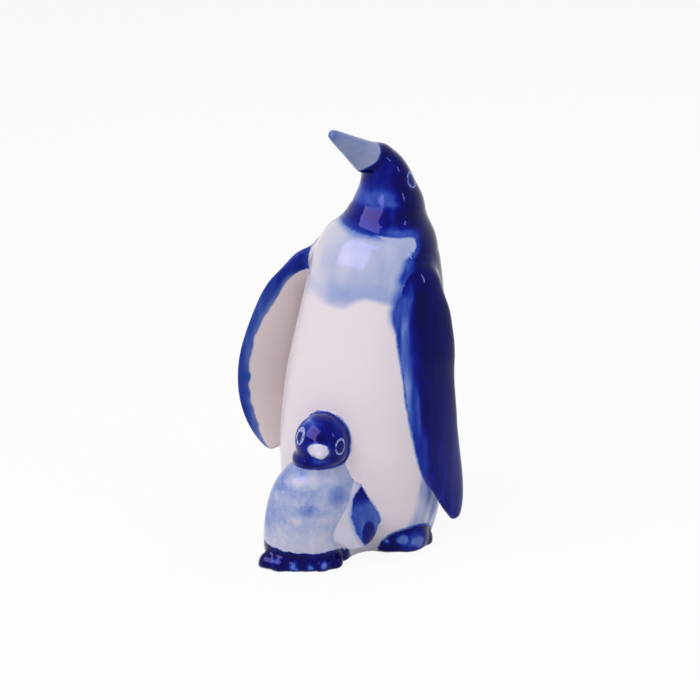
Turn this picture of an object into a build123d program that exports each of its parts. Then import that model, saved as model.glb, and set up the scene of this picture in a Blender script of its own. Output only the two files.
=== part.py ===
"""Glazed porcelain penguin with its chick: separately cast and pressed pieces, luted into one ornament.

The adult faces -Y and its left side is +X. The origin is the centre of its base, on the table.
All lengths are in millimetres. Each table of shares lists fractions of the sizes named in its comment.
"""

import os
from math import cos, radians, sin

from build123d import *

# Adult body
figure_height = 100.0
torso_width = 40.0
torso_depth = 35.6
collar_tilt_angle = 68.0
collar_heading_angle = 113.0
wall = 2.6
vent_hole = 3.0
vent_y = 6.0

# Adult neck, head and beak: the head hangs from the figure's height, the collar from the head
neck_x = 2.9
neck_y = 5.5
head_width = 13.4
head_drop = 13.0
neck_rise = 12.0
head_centre = figure_height - head_drop
collar_height = head_centre - neck_rise
beak_tip_x = -5.0
beak_tip_y = -7.4
beak_length = 13.4
beak_seat = 5.0
beak_width = 7.6
beak_depth = 8.0
beak_rise_angle = 35.5
beak_heading_angle = -31.0

# Adult flippers, hung from the collar
shoulder_drop = 7.5
shoulder_height = collar_height - shoulder_drop
flipper_chord = 14.8
flipper_thickness = 4.4
left_tip_height = 6.0
right_tip_height = 16.6
right_flipper_chord = 15.0
right_flipper_thickness = 3.4

# Adult feet and tail, which follow the sides and the back of the torso
heel_inset = 12.4
heel_x = torso_width / 2 - heel_inset
heel_y = 0.4
foot_heading_angle = 50.0
toe_reach = 10.6
toe_length = 8.6
toe_width = 5.4
toe_spread_angle = 32.0
pad_reach = 6.0
pad_width = 10.8
foot_height = 8.2
tail_overhang = 1.2
tail_length = 8.0
tail_tip_y = torso_depth / 2 + tail_overhang
tail_root_y = tail_tip_y - tail_length
tail_width = 12.0
tail_tip_width = 6.4
tail_height = 5.0
tail_tip_height = 1.8

# Chick, which leans on the adult
chick_x = -6.7
chick_y = -19.6
chick_heading_angle = 25.0
chick_lean_x = 5.6
chick_lean_y = -0.9
chick_body_height = 26.0
chick_body_width = 20.4
chick_body_depth = 18.2
chick_head_width = 12.4
chick_head_rise = 4.4
chick_head_centre = chick_body_height + chick_head_rise
chick_beak_reach = 8.6
chick_beak_length = 4.6
chick_beak_width = 5.2
chick_beak_depth = 4.0
chick_beak_drop = 0.6
chick_shoulder_drop = 6.0
chick_shoulder = chick_body_height - chick_shoulder_drop
chick_flipper_drop = 16.0
chick_flipper_chord = 11.6
chick_flipper_thickness = 3.4
chick_left_side = 9.0
chick_left_forward = 1.6
chick_left_flare = 3.4
chick_left_swing = 3.6
chick_left_heading_angle = 57.0
chick_right_side = -7.0
chick_right_forward = -2.0
chick_right_flare = -1.7
chick_right_swing = -1.0
chick_right_heading_angle = 118.0
chick_right_chord = 8.4
chick_right_thickness = 2.8
chick_heel_side = 3.0
chick_heel_forward = 1.0
chick_foot_heading_angle = 15.0
chick_toe_reach = 8.8
chick_toe_length = 6.6
chick_toe_width = 4.2
chick_toe_spread_angle = 28.0
chick_pad_reach = 3.2
chick_pad_width = 10.4
chick_foot_height = 4.4

# Low web of porcelain between the chick, the torso and the left foot
web_height = 3.0
web_chick_x = 4.2
web_chick_y = -18.0
web_middle_x = 5.4
web_middle_y = -13.2
web_foot_x = 9.8
web_foot_y = -9.4

# Distance between the sections that the curved forms are drawn through
section_step = 3.4

# Torso: height share of the collar height, half width and centre x shares of the torso width,
# half depth and centre y shares of the torso depth
torso_shares = (
    (0.000, 0.402, -0.010, 0.300, 0.060),
    (0.040, 0.441, -0.014, 0.355, 0.044),
    (0.130, 0.480, -0.008, 0.452, 0.000),
    (0.290, 0.500, 0.008, 0.500, -0.036),
    (0.440, 0.495, 0.018, 0.492, -0.026),
    (0.570, 0.478, 0.028, 0.474, -0.004),
    (0.700, 0.443, 0.038, 0.440, 0.028),
    (0.830, 0.404, 0.046, 0.400, 0.058),
    (0.920, 0.370, 0.048, 0.374, 0.080),
    (0.985, 0.325, 0.054, 0.336, 0.110),
)

# Neck: height share from the collar to the head's centre, radius share and centre shift shares of the head
# width. It ends inside the ball of the head.
neck_shares = (
    (0.09, 0.800, -0.030, -0.020),
    (0.26, 0.712, -0.020, 0.040),
    (0.48, 0.642, 0.008, 0.037),
    (0.76, 0.552, 0.020, 0.030),
    (1.00, 0.420, 0.000, 0.000),
    (1.28, 0.300, 0.000, 0.000),
)

# Beak: share of the beak length, half width and half depth shares of the beak base
beak_shares = (
    (0.00, 0.500, 0.500),
    (0.25, 0.410, 0.420),
    (0.50, 0.310, 0.320),
    (0.75, 0.225, 0.230),
    (1.00, 0.110, 0.115),
)

# Flippers: share of the drop from the shoulder to the tip, centre x share of the torso width, centre y share
# of the torso depth, chord heading in degrees from the left side, chord share and thickness share
left_flipper_shares = (
    (0.000, 0.375, -0.080, 54, 0.34, 0.62),
    (0.060, 0.408, -0.105, 55, 0.66, 0.90),
    (0.150, 0.425, -0.118, 56, 0.94, 1.00),
    (0.220, 0.442, -0.126, 58, 1.00, 1.00),
    (0.300, 0.464, -0.132, 60, 1.00, 1.00),
    (0.375, 0.475, -0.138, 64, 0.98, 0.98),
    (0.455, 0.488, -0.143, 65, 0.96, 0.95),
    (0.535, 0.505, -0.138, 66, 0.93, 0.92),
    (0.625, 0.520, -0.124, 68, 0.89, 0.88),
    (0.725, 0.536, -0.084, 70, 0.83, 0.82),
    (0.805, 0.552, -0.040, 72, 0.74, 0.75),
    (0.885, 0.568, 0.000, 73, 0.58, 0.66),
    (0.945, 0.578, 0.024, 74, 0.39, 0.56),
    (0.985, 0.581, 0.034, 74, 0.19, 0.42),
)
right_flipper_shares = (
    (0.000, -0.290, 0.160, 50, 0.50, 0.90),
    (0.060, -0.375, 0.145, 50, 0.78, 1.00),
    (0.140, -0.442, 0.125, 50, 0.92, 1.00),
    (0.220, -0.510, 0.100, 50, 0.98, 1.00),
    (0.320, -0.560, 0.064, 50, 1.00, 1.00),
    (0.420, -0.602, 0.034, 50, 1.00, 0.98),
    (0.520, -0.638, 0.012, 50, 0.98, 0.94),
    (0.620, -0.655, 0.000, 50, 0.95, 0.90),
    (0.720, -0.657, -0.006, 50, 0.88, 0.86),
    (0.810, -0.642, -0.010, 50, 0.77, 0.80),
    (0.890, -0.618, -0.012, 50, 0.61, 0.72),
    (0.950, -0.596, -0.016, 50, 0.41, 0.62),
    (0.988, -0.578, -0.022, 50, 0.20, 0.46),
)

# Chick body: height share, half width share of the width and half depth share of the depth
chick_body_shares = (
    (0.00, 0.410, 0.410),
    (0.12, 0.465, 0.465),
    (0.35, 0.500, 0.500),
    (0.58, 0.495, 0.485),
    (0.76, 0.445, 0.440),
    (0.90, 0.345, 0.360),
    (1.00, 0.270, 0.290),
)

# Chick flippers: share of the drop from root to tip, chord share and thickness share
chick_flipper_shares = (
    (0.00, 0.22, 0.60),
    (0.10, 0.42, 0.85),
    (0.28, 0.70, 1.00),
    (0.50, 0.94, 1.00),
    (0.70, 1.00, 1.00),
    (0.86, 0.80, 0.86),
    (0.96, 0.46, 0.60),
)

# Chick beak: share of its length, half width share of its width and half depth share of its depth
chick_beak_shares = (
    (0.00, 0.500, 0.500),
    (0.40, 0.440, 0.450),
    (0.75, 0.300, 0.330),
    (1.00, 0.120, 0.140),
)


def section_plane(centre, rise_angle, heading_angle):
    """Plane at the centre whose normal rises from the front, which the heading turns to the left."""
    left = (cos(radians(heading_angle)), sin(radians(heading_angle)), 0)
    level = cos(radians(rise_angle))
    ahead = (left[1] * level, -left[0] * level, sin(radians(rise_angle)))
    return Plane(origin=centre, x_dir=left, z_dir=ahead)


def level_plane(centre, heading_angle):
    """Level plane at the centre, turned to the left by the heading."""
    return Plane(origin=centre, x_dir=(cos(radians(heading_angle)), sin(radians(heading_angle)), 0))


# Where the beak ends and where it begins
beak_axis = section_plane((0, 0, 0), beak_rise_angle, beak_heading_angle).z_dir
beak_tip_radius = beak_shares[-1][-1] * beak_depth
beak_tip = Vector(beak_tip_x, beak_tip_y, figure_height - beak_tip_radius)
beak_root = beak_tip - beak_axis * beak_length


def smooth_rows(rows, step):
    """Rows of numbers at even steps along their centres, on a smooth curve through the given rows.

    The first three numbers of a row are its centre. Every number follows a cubic through its neighbours.
    """
    stations = [0]
    for before, after in zip(rows, rows[1:]):
        stations.append(stations[-1] + (Vector(*after[:3]) - Vector(*before[:3])).length)
    slopes = []
    for place in range(len(rows)):
        low = max(place - 1, 0)
        high = min(place + 1, len(rows) - 1)
        run = stations[high] - stations[low]
        slopes.append([(late - early) / run for early, late in zip(rows[low], rows[high])])
    count = round(stations[-1] / step)
    result = [rows[0]]
    span = 0
    for index in range(1, count):
        way = stations[-1] * index / count
        while stations[span + 1] < way:
            span += 1
        length = stations[span + 1] - stations[span]
        share = (way - stations[span]) / length
        rise = share * share * (3 - 2 * share)
        start_pull = share * (1 - share) * (1 - share) * length
        end_pull = share * share * (share - 1) * length
        pairs = zip(rows[span], rows[span + 1], slopes[span], slopes[span + 1])
        result.append([a + (b - a) * rise + u * start_pull + v * end_pull for a, b, u, v in pairs])
    return result + [rows[-1]]


def adult_rows():
    """Centre, half width and half depth of the adult from its base into its head."""
    rows = []
    for height, half_width, x_share, half_depth, y_share in torso_shares:
        centre = (x_share * torso_width, y_share * torso_depth, height * collar_height)
        rows.append([*centre, half_width * torso_width, half_depth * torso_depth])
    for way, radius, x_share, y_share in neck_shares:
        height = collar_height + (head_centre - collar_height) * way
        centre = (neck_x + x_share * head_width, neck_y + y_share * head_width, height)
        rows.append([*centre, radius * head_width, radius * head_width])
    return rows


def flipper_rows(shares, tip_height, chord, thickness):
    """Centre, chord heading, half chord and half thickness of an adult flipper from root to tip."""
    rows = []
    for drop, x_share, y_share, heading, chord_share, thickness_share in shares:
        height = shoulder_height + (tip_height - shoulder_height) * drop
        centre = (x_share * torso_width, y_share * torso_depth, height)
        rows.append([*centre, heading, chord_share * chord / 2, thickness_share * thickness / 2])
    return rows


def blade_sections(rows):
    """Sections square to a blade's line of centres: a plane with its x along the chord, and two halves."""
    sections = []
    for place, row in enumerate(rows):
        before = Vector(*rows[max(place - 1, 0)][:3])
        after = Vector(*rows[min(place + 1, len(rows) - 1)][:3])
        chord = (cos(radians(row[3])), sin(radians(row[3])), 0)
        across = (after - before).cross(Vector(*chord))
        plane = Plane(origin=tuple(row[:3]), x_dir=across.cross(after - before), z_dir=after - before)
        sections.append((plane, row[4], row[5]))
    return sections


def drawn_through(sections):
    """Solid drawn smoothly through ovals, each a plane, a half width and a half depth."""
    with BuildPart() as form:
        for plane, half_width, half_depth in sections:
            with BuildSketch(plane):
                Ellipse(half_width, half_depth)
        loft()
    return form.part


def turned(x, y, angle):
    """Point turned about the vertical by the angle, which runs from the front to the left side."""
    across, along = cos(radians(angle)), sin(radians(angle))
    return (x * across - y * along, x * along + y * across)


def foot(toe_reach, toe_length, toe_width, spread_angle, pad_reach, pad_width, height):
    """Foot with its heel on the origin: three toes fanned to the front from under a round pad, flat below."""
    toe_radius = toe_width / 2
    pad_radius = (pad_width * pad_width / 4 + height * height) / (2 * height)
    with BuildPart() as toe:
        with BuildSketch(Plane.YZ):
            with BuildLine():
                Line((toe_radius - toe_reach, toe_radius), (toe_length - toe_reach, toe_radius))
                Line((toe_length - toe_reach, toe_radius), (toe_length - toe_reach, 0))
                Line((toe_length - toe_reach, 0), (-toe_reach, 0))
                RadiusArc((-toe_reach, 0), (toe_radius - toe_reach, toe_radius), toe_radius)
            make_face()
        revolve(axis=Axis.Y)
    with BuildPart() as form:
        with Locations((0, -pad_reach, height - pad_radius)):
            Sphere(pad_radius)
        for angle in (-spread_angle, 0, spread_angle):
            add(toe.part.moved(Location((0, 0, toe_width / 4), (0, 0, angle))))
        split(bisect_by=Plane.XY, keep=Keep.TOP)
    return form.part


def chick_place(side, forward, height):
    """Point beside and ahead of the chick's leaning axis at a height."""
    x, y = turned(side, -forward, chick_heading_angle)
    lean = height / chick_head_centre
    return (chick_x + chick_lean_x * lean + x, chick_y + chick_lean_y * lean + y, height)


def chick_body_rows():
    """Centre, half width and half depth of the chick's body from the table up."""
    rows = []
    for height, half_width, half_depth in chick_body_shares:
        centre = chick_place(0, 0, height * chick_body_height)
        rows.append([*centre, half_width * chick_body_width, half_depth * chick_body_depth])
    return rows


def chick_flipper_rows(root, flare, swing, heading, chord, thickness):
    """Centre, chord heading, half chord and half thickness of a chick's flipper from root to tip."""
    rows = []
    for drop, chord_share, thickness_share in chick_flipper_shares:
        height = chick_shoulder - chick_flipper_drop * drop
        centre = chick_place(root[0] + flare * drop, root[1] + swing * drop, height)
        rows.append([*centre, heading, chord_share * chord / 2, thickness_share * thickness / 2])
    return rows


# Outer form of the adult without its beak, the form that every seat is cut to
adult_stations = smooth_rows(adult_rows(), section_step)
with BuildPart() as adult_form:
    add(drawn_through([(Plane(row[:3]), row[3], row[4]) for row in adult_stations]))
    with Locations((neck_x, neck_y, head_centre)):
        Sphere(head_width / 2)

# Casting cavity: the same sections drawn in by the wall, from the floor of the torso into the head
cavity_stations = [row for row in adult_stations if row[2] > wall]
cavity_stations[0] = [*cavity_stations[0][:2], wall, *cavity_stations[0][3:]]
cavity_sections = [(Plane(row[:3]), row[3] - wall, row[4] - wall) for row in cavity_stations]
with BuildPart() as cavity:
    add(drawn_through(cavity_sections))

# The collar seat leans down to the left and back
collar_plane = section_plane((neck_x, neck_y, collar_height), collar_tilt_angle, collar_heading_angle)

with BuildPart() as torso_shell:
    add(adult_form.part)
    split(bisect_by=collar_plane, keep=Keep.BOTTOM)
    add(cavity.part, mode=Mode.SUBTRACT)
    with Locations((0, vent_y, 0)):
        Cylinder(vent_hole / 2, 4 * wall, mode=Mode.SUBTRACT)

with BuildPart() as head_shell:
    add(adult_form.part)
    split(bisect_by=collar_plane, keep=Keep.TOP)
    add(cavity.part, mode=Mode.SUBTRACT)

# Beak, rooted in the head
beak_sections = []
for way, half_width, half_depth in ((-beak_seat / beak_length, *beak_shares[0][1:]), *beak_shares):
    plane = section_plane(beak_root + beak_axis * beak_length * way, beak_rise_angle, beak_heading_angle)
    beak_sections.append((plane, half_width * beak_width, half_depth * beak_depth))
with BuildPart() as beak:
    add(drawn_through(beak_sections))
    add(adult_form.part, mode=Mode.SUBTRACT)
    add(cavity.part, mode=Mode.SUBTRACT)

# Flippers, seated on the torso where they meet it
left_rows = flipper_rows(left_flipper_shares, left_tip_height, flipper_chord, flipper_thickness)
left_stations = smooth_rows(left_rows, section_step)
with BuildPart() as left_flipper:
    add(drawn_through(blade_sections(left_stations)))
    add(adult_form.part, mode=Mode.SUBTRACT)

right_rows = flipper_rows(
    right_flipper_shares, right_tip_height, right_flipper_chord, right_flipper_thickness
)
right_stations = smooth_rows(right_rows, section_step)
with BuildPart() as right_flipper:
    add(drawn_through(blade_sections(right_stations)))
    add(adult_form.part, mode=Mode.SUBTRACT)

# Feet, which stand out from under the belly
foot_form = foot(toe_reach, toe_length, toe_width, toe_spread_angle, pad_reach, pad_width, foot_height)
with BuildPart() as left_foot:
    add(foot_form.moved(Location((heel_x, heel_y, 0), (0, 0, foot_heading_angle))))
    add(adult_form.part, mode=Mode.SUBTRACT)

with BuildPart() as right_foot:
    add(foot_form.moved(Location((-heel_x, heel_y, 0), (0, 0, -foot_heading_angle))))
    add(adult_form.part, mode=Mode.SUBTRACT)

# Tail, a low wedge at the back of the base
tail_root = (Plane.XZ.offset(-tail_root_y), tail_width / 2, tail_height)
tail_tip = (Plane.XZ.offset(-tail_tip_y), tail_tip_width / 2, tail_tip_height)
with BuildPart() as tail:
    add(drawn_through([tail_root, tail_tip]))
    split(bisect_by=Plane.XY, keep=Keep.TOP)
    add(adult_form.part, mode=Mode.SUBTRACT)

# Chick head, a ball pressed onto the adult
head_place = chick_place(0, 0, chick_head_centre)
with BuildPart() as chick_head:
    with Locations(head_place):
        Sphere(chick_head_width / 2)
    add(adult_form.part, mode=Mode.SUBTRACT)

# Chick body, round in plan, cut where it is pressed onto the adult and where the head sits in it
chick_stations = smooth_rows(chick_body_rows(), section_step)
chick_sections = [(level_plane(row[:3], chick_heading_angle), row[3], row[4]) for row in chick_stations]
with BuildPart() as chick_form:
    add(drawn_through(chick_sections))

with BuildPart() as chick_body:
    add(chick_form.part)
    add(adult_form.part, mode=Mode.SUBTRACT)
    add(chick_head.part, mode=Mode.SUBTRACT)

# Chick beak, rooted in the head
chick_beak_sections = []
for way, half_width, half_depth in chick_beak_shares:
    reach = chick_beak_reach - chick_beak_length * (1 - way)
    centre = chick_place(0, reach, chick_head_centre - chick_beak_drop * way)
    plane = section_plane(centre, 0, chick_heading_angle)
    chick_beak_sections.append((plane, half_width * chick_beak_width, half_depth * chick_beak_depth))
with BuildPart() as chick_beak:
    add(drawn_through(chick_beak_sections))
    add(chick_head.part, mode=Mode.SUBTRACT)

# Chick flippers, seated on its body and its left one against the adult's belly too
chick_left_rows = chick_flipper_rows(
    (chick_left_side, chick_left_forward),
    chick_left_flare,
    chick_left_swing,
    chick_left_heading_angle,
    chick_flipper_chord,
    chick_flipper_thickness,
)
with BuildPart() as chick_left_flipper:
    add(drawn_through(blade_sections(chick_left_rows)))
    add(chick_form.part, mode=Mode.SUBTRACT)
    add(adult_form.part, mode=Mode.SUBTRACT)

chick_right_rows = chick_flipper_rows(
    (chick_right_side, chick_right_forward),
    chick_right_flare,
    chick_right_swing,
    chick_right_heading_angle,
    chick_right_chord,
    chick_right_thickness,
)
with BuildPart() as chick_right_flipper:
    add(drawn_through(blade_sections(chick_right_rows)))
    add(chick_form.part, mode=Mode.SUBTRACT)
    add(adult_form.part, mode=Mode.SUBTRACT)

# Chick feet, two alike, that meet under the middle of the body
chick_foot_form = foot(
    chick_toe_reach,
    chick_toe_length,
    chick_toe_width,
    chick_toe_spread_angle,
    chick_pad_reach,
    chick_pad_width,
    chick_foot_height,
)
left_heel = chick_place(chick_heel_side, chick_heel_forward, 0)
right_heel = chick_place(-chick_heel_side, chick_heel_forward, 0)
with BuildPart() as chick_left_foot:
    add(chick_foot_form.moved(Location(left_heel, (0, 0, chick_heading_angle + chick_foot_heading_angle))))
    add(chick_form.part, mode=Mode.SUBTRACT)
    add(adult_form.part, mode=Mode.SUBTRACT)
    add(chick_left_flipper.part, mode=Mode.SUBTRACT)

with BuildPart() as chick_right_foot:
    add(chick_foot_form.moved(Location(right_heel, (0, 0, chick_heading_angle - chick_foot_heading_angle))))
    add(chick_form.part, mode=Mode.SUBTRACT)
    add(adult_form.part, mode=Mode.SUBTRACT)
    add(chick_left_foot.part, mode=Mode.SUBTRACT)

# Low web that fills the corner between the chick, the torso and the left foot
with BuildPart() as web_form:
    with BuildSketch(Plane.XY):
        with BuildLine():
            ThreePointArc((web_chick_x, web_chick_y), (web_middle_x, web_middle_y), (web_foot_x, web_foot_y))
            Line((web_foot_x, web_foot_y), (0, 0))
            Line((0, 0), (chick_x, chick_y))
            Line((chick_x, chick_y), (web_chick_x, web_chick_y))
        make_face()
    extrude(amount=web_height)
    for neighbour in (adult_form, chick_form, chick_left_foot, chick_left_flipper, left_foot):
        add(neighbour.part, mode=Mode.SUBTRACT)

with BuildPart() as ground_web:
    add(web_form.part.solids().sort_by(SortBy.VOLUME)[-1])

os.makedirs("parts", exist_ok=True)
for name, piece in (
    ("torso_shell", torso_shell),
    ("head_shell", head_shell),
    ("beak", beak),
    ("left_flipper", left_flipper),
    ("right_flipper", right_flipper),
    ("left_foot", left_foot),
    ("right_foot", right_foot),
    ("tail", tail),
    ("ground_web", ground_web),
    ("chick_body", chick_body),
    ("chick_head", chick_head),
    ("chick_beak", chick_beak),
    ("chick_left_flipper", chick_left_flipper),
    ("chick_right_flipper", chick_right_flipper),
    ("chick_left_foot", chick_left_foot),
    ("chick_right_foot", chick_right_foot),
):
    piece.part.label = name
    export_step(piece.part, f"parts/{name}.step")
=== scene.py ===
"""Glazed porcelain penguin with its chick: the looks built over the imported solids.

The pieces are read as distance fields, luted together with the soft fillets that a glazed joint has,
and cut apart again into one closed mesh per piece. Cobalt is painted as a density over white porcelain.
Lengths inside the script are millimetres and turns are degrees, unless a comment says otherwise.
Lengths become metres when a mesh, a lamp or a shader is handed to Blender.
"""

import logging
import sys
from dataclasses import dataclass, field
from enum import Enum
from math import cos, radians, sin
from typing import Callable, Sequence

import bpy
import numpy as np
import openvdb as vdb
from mathutils import Matrix, Vector

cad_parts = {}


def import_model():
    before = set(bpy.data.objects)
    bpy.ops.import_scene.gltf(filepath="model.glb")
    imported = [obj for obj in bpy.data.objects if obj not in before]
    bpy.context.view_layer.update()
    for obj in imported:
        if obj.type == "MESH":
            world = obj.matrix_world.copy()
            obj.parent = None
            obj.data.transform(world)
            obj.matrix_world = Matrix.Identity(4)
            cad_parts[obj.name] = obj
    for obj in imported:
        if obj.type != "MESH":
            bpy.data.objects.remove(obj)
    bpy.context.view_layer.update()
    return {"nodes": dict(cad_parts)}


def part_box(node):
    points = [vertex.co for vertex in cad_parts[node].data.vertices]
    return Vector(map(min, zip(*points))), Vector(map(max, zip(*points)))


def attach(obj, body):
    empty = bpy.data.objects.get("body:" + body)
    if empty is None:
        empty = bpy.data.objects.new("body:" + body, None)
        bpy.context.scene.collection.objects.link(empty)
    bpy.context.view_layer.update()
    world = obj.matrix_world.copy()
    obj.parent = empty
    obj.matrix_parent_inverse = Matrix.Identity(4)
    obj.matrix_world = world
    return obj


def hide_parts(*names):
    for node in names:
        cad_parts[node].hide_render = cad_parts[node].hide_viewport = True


Array = np.ndarray
Point = tuple[float, float, float]
Span = tuple[float, float]
Table = Sequence[Sequence[float]]
LOG = logging.getLogger("figurine")
MM = 0.001


def smoothstep(low: float, high: float, value: Array) -> Array:
    """Smooth rise from 0 at low to 1 at high, where low may be the larger."""
    share = np.clip((value - low) / (high - low), 0.0, 1.0)
    return share * share * (3.0 - 2.0 * share)


def smooth_min(a: Array, b: Array, fillet: Array | float) -> Array:
    """Smaller of two distances, with a fillet where they cross.

    Args:
        a: First distances.
        b: Second distances.
        fillet: Width over which the two are blended, in millimetres.

    Returns:
        The blended distances.
    """
    overlap = np.maximum(fillet - np.abs(a - b), 0.0) / np.maximum(fillet, 1e-6)
    return np.minimum(a, b) - overlap * overlap * fillet * 0.25


def between(values: Array, place: Array, wrap: int | None = None) -> Array:
    """Values of a lattice at places between its points.

    Args:
        values: The lattice.
        place: Places counted in cells, one row each.
        wrap: Size of a lattice that repeats itself, or None.

    Returns:
        One value for each place.
    """
    low = np.floor(place).astype(int)
    share = place - low
    if wrap:
        share = share * share * (3.0 - 2.0 * share)
    total = np.zeros(len(place))
    for corner in np.ndindex(2, 2, 2):
        weight = np.prod(np.where(np.array(corner), share, 1.0 - share), axis=1)
        cell = low + np.array(corner)
        cell = cell % wrap if wrap else cell
        total += weight * values[cell[:, 0], cell[:, 1], cell[:, 2]]
    return total


def value_noise(points: Array, size: Point, seed: int) -> Array:
    """Smooth noise from -1 to 1.

    Args:
        points: Places, one row each.
        size: Size of one lump along each axis.
        seed: Seed of the lattice.

    Returns:
        One value for each place.
    """
    cells = 32
    lattice = np.random.default_rng(seed).uniform(-1.0, 1.0, (cells, cells, cells))
    return between(lattice, points / np.asarray(size), cells)


def follow(value: Array, table: Table, column: int = 1) -> Array:
    """Read a column of a table by its first column, with straight runs between its rows."""
    return np.interp(value, [row[0] for row in table], [row[column] for row in table])


def arc(turn: Array, radius: Array) -> Array:
    """Length of a turn in degrees along a circle."""
    return np.radians(turn) * radius


def even(points: Array, value: float) -> Array:
    """The same value for each point."""
    return np.full(len(points), value)


def bump_at(points: Array, centre: Sequence[float], radius: float) -> Array:
    """Soft spot that is 1 at its centre and 0 from its radius outwards."""
    away = np.linalg.norm(points - np.asarray(centre), axis=1) / radius
    return 1.0 - smoothstep(0.0, 1.0, away)


@dataclass(frozen=True)
class Axis:
    """Line of centres of a form, as rows of height, x and y."""

    rows: tuple[Point, ...]

    def polar(self, points: Array) -> tuple[Array, Array]:
        """Places seen from the axis.

        Args:
            points: Places, one row each.

        Returns:
            Heading in degrees from the front (-Y) to the left (+X), and distance from the axis.
        """
        across = points[:, 0] - follow(points[:, 2], self.rows, 1)
        along = points[:, 1] - follow(points[:, 2], self.rows, 2)
        return np.degrees(np.arctan2(across, -along)), np.hypot(across, along)


ADULT_AXIS = Axis(
    (
        (0.0, -0.4, 2.1),
        (10.0, -0.3, 0.0),
        (22.0, 0.3, -1.3),
        (43.0, 1.1, -0.1),
        (62.0, 1.8, 2.1),
        (74.0, 2.2, 3.9),
        (78.0, 2.6, 6.0),
        (84.0, 3.2, 5.9),
        (87.0, 2.9, 5.5),
    )
)
CHICK_AXIS = Axis(((0.0, -6.7, -19.6), (30.4, -1.1, -20.5)))


class Tree:
    """Small helper that adds and wires nodes in a node tree."""

    def __init__(self, tree: bpy.types.NodeTree) -> None:
        """Keep the tree to build in."""
        self.tree = tree

    def add(self, kind: str, **settings: object) -> bpy.types.Node:
        """Add a node and set its properties.

        Args:
            kind: Type of the node.
            settings: Properties of the node.

        Returns:
            The node.
        """
        node = self.tree.nodes.new(kind)
        for key, value in settings.items():
            setattr(node, key, value)
        return node

    def put(self, value: object, socket: bpy.types.NodeSocket) -> None:
        """Wire a socket to another, or set its value.

        Args:
            value: An output to wire, or a value.
            socket: The input that gets it.
        """
        if isinstance(value, bpy.types.NodeSocket):
            self.tree.links.new(value, socket)
        else:
            socket.default_value = value

    def use(
        self, kind: str, feeds: dict[int | str, object], output: int | str = 0, **settings: object
    ) -> bpy.types.NodeSocket:
        """Add a node and feed its inputs.

        Args:
            kind: Type of the node.
            feeds: Value or output for each input, by the input's name or place.
            output: Name or place of the output to hand back.
            settings: Properties of the node.

        Returns:
            The output.
        """
        node = self.add(kind, **settings)
        for key, value in feeds.items():
            self.put(value, node.inputs[key])
        return node.outputs[output]

    def math(self, operation: str, *values: object) -> bpy.types.NodeSocket:
        """Result of a Math node."""
        return self.use("ShaderNodeMath", dict(enumerate(values)), operation=operation)

    def plus(self, first: object, second: object) -> bpy.types.NodeSocket:
        """Sum of two values."""
        return self.math("ADD", first, second)

    def minus(self, first: object, second: object) -> bpy.types.NodeSocket:
        """Difference of two values."""
        return self.math("SUBTRACT", first, second)

    def times(self, first: object, second: object) -> bpy.types.NodeSocket:
        """Product of two values."""
        return self.math("MULTIPLY", first, second)

    def ratio(self, first: object, second: object) -> bpy.types.NodeSocket:
        """First value divided by the second."""
        return self.math("DIVIDE", first, second)

    def blend(self, share: object, low: object, high: object) -> bpy.types.NodeSocket:
        """Value between two others."""
        return self.use("ShaderNodeMix", {0: share, 2: low, 3: high}, data_type="FLOAT")

    def ramp(self, value: object, low: object, high: object) -> bpy.types.NodeSocket:
        """Smooth rise from 0 at low to 1 at high."""
        return self.use("ShaderNodeMapRange", {0: value, 1: low, 2: high}, interpolation_type="SMOOTHSTEP")

    def vector(self, operation: str, first: object, second: object) -> bpy.types.NodeSocket:
        """Result of a Vector Math node."""
        return self.use("ShaderNodeVectorMath", {0: first, 1: second}, operation=operation)

    def stretch(self, vector: object, scale: Point) -> bpy.types.NodeSocket:
        """Place that is scaled along each axis."""
        return self.use("ShaderNodeMapping", {"Vector": vector, "Scale": scale})

    def noise(self, vector: object, scale: float, detail: float, rough: float = 0.55) -> bpy.types.NodeSocket:
        """Noise at a place.

        Args:
            vector: The place.
            scale: Lumps for each unit.
            detail: Octaves of finer lumps.
            rough: Strength of the finer lumps.

        Returns:
            The noise, from 0 to 1.
        """
        return self.use(
            "ShaderNodeTexNoise", {"Vector": vector, "Scale": scale, "Detail": detail, "Roughness": rough}
        )


# ---------------------------------------------------------------- shape


@dataclass
class Box:
    """Block of a distance grid: its first cell and its values."""

    first: Array
    values: Array


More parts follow.
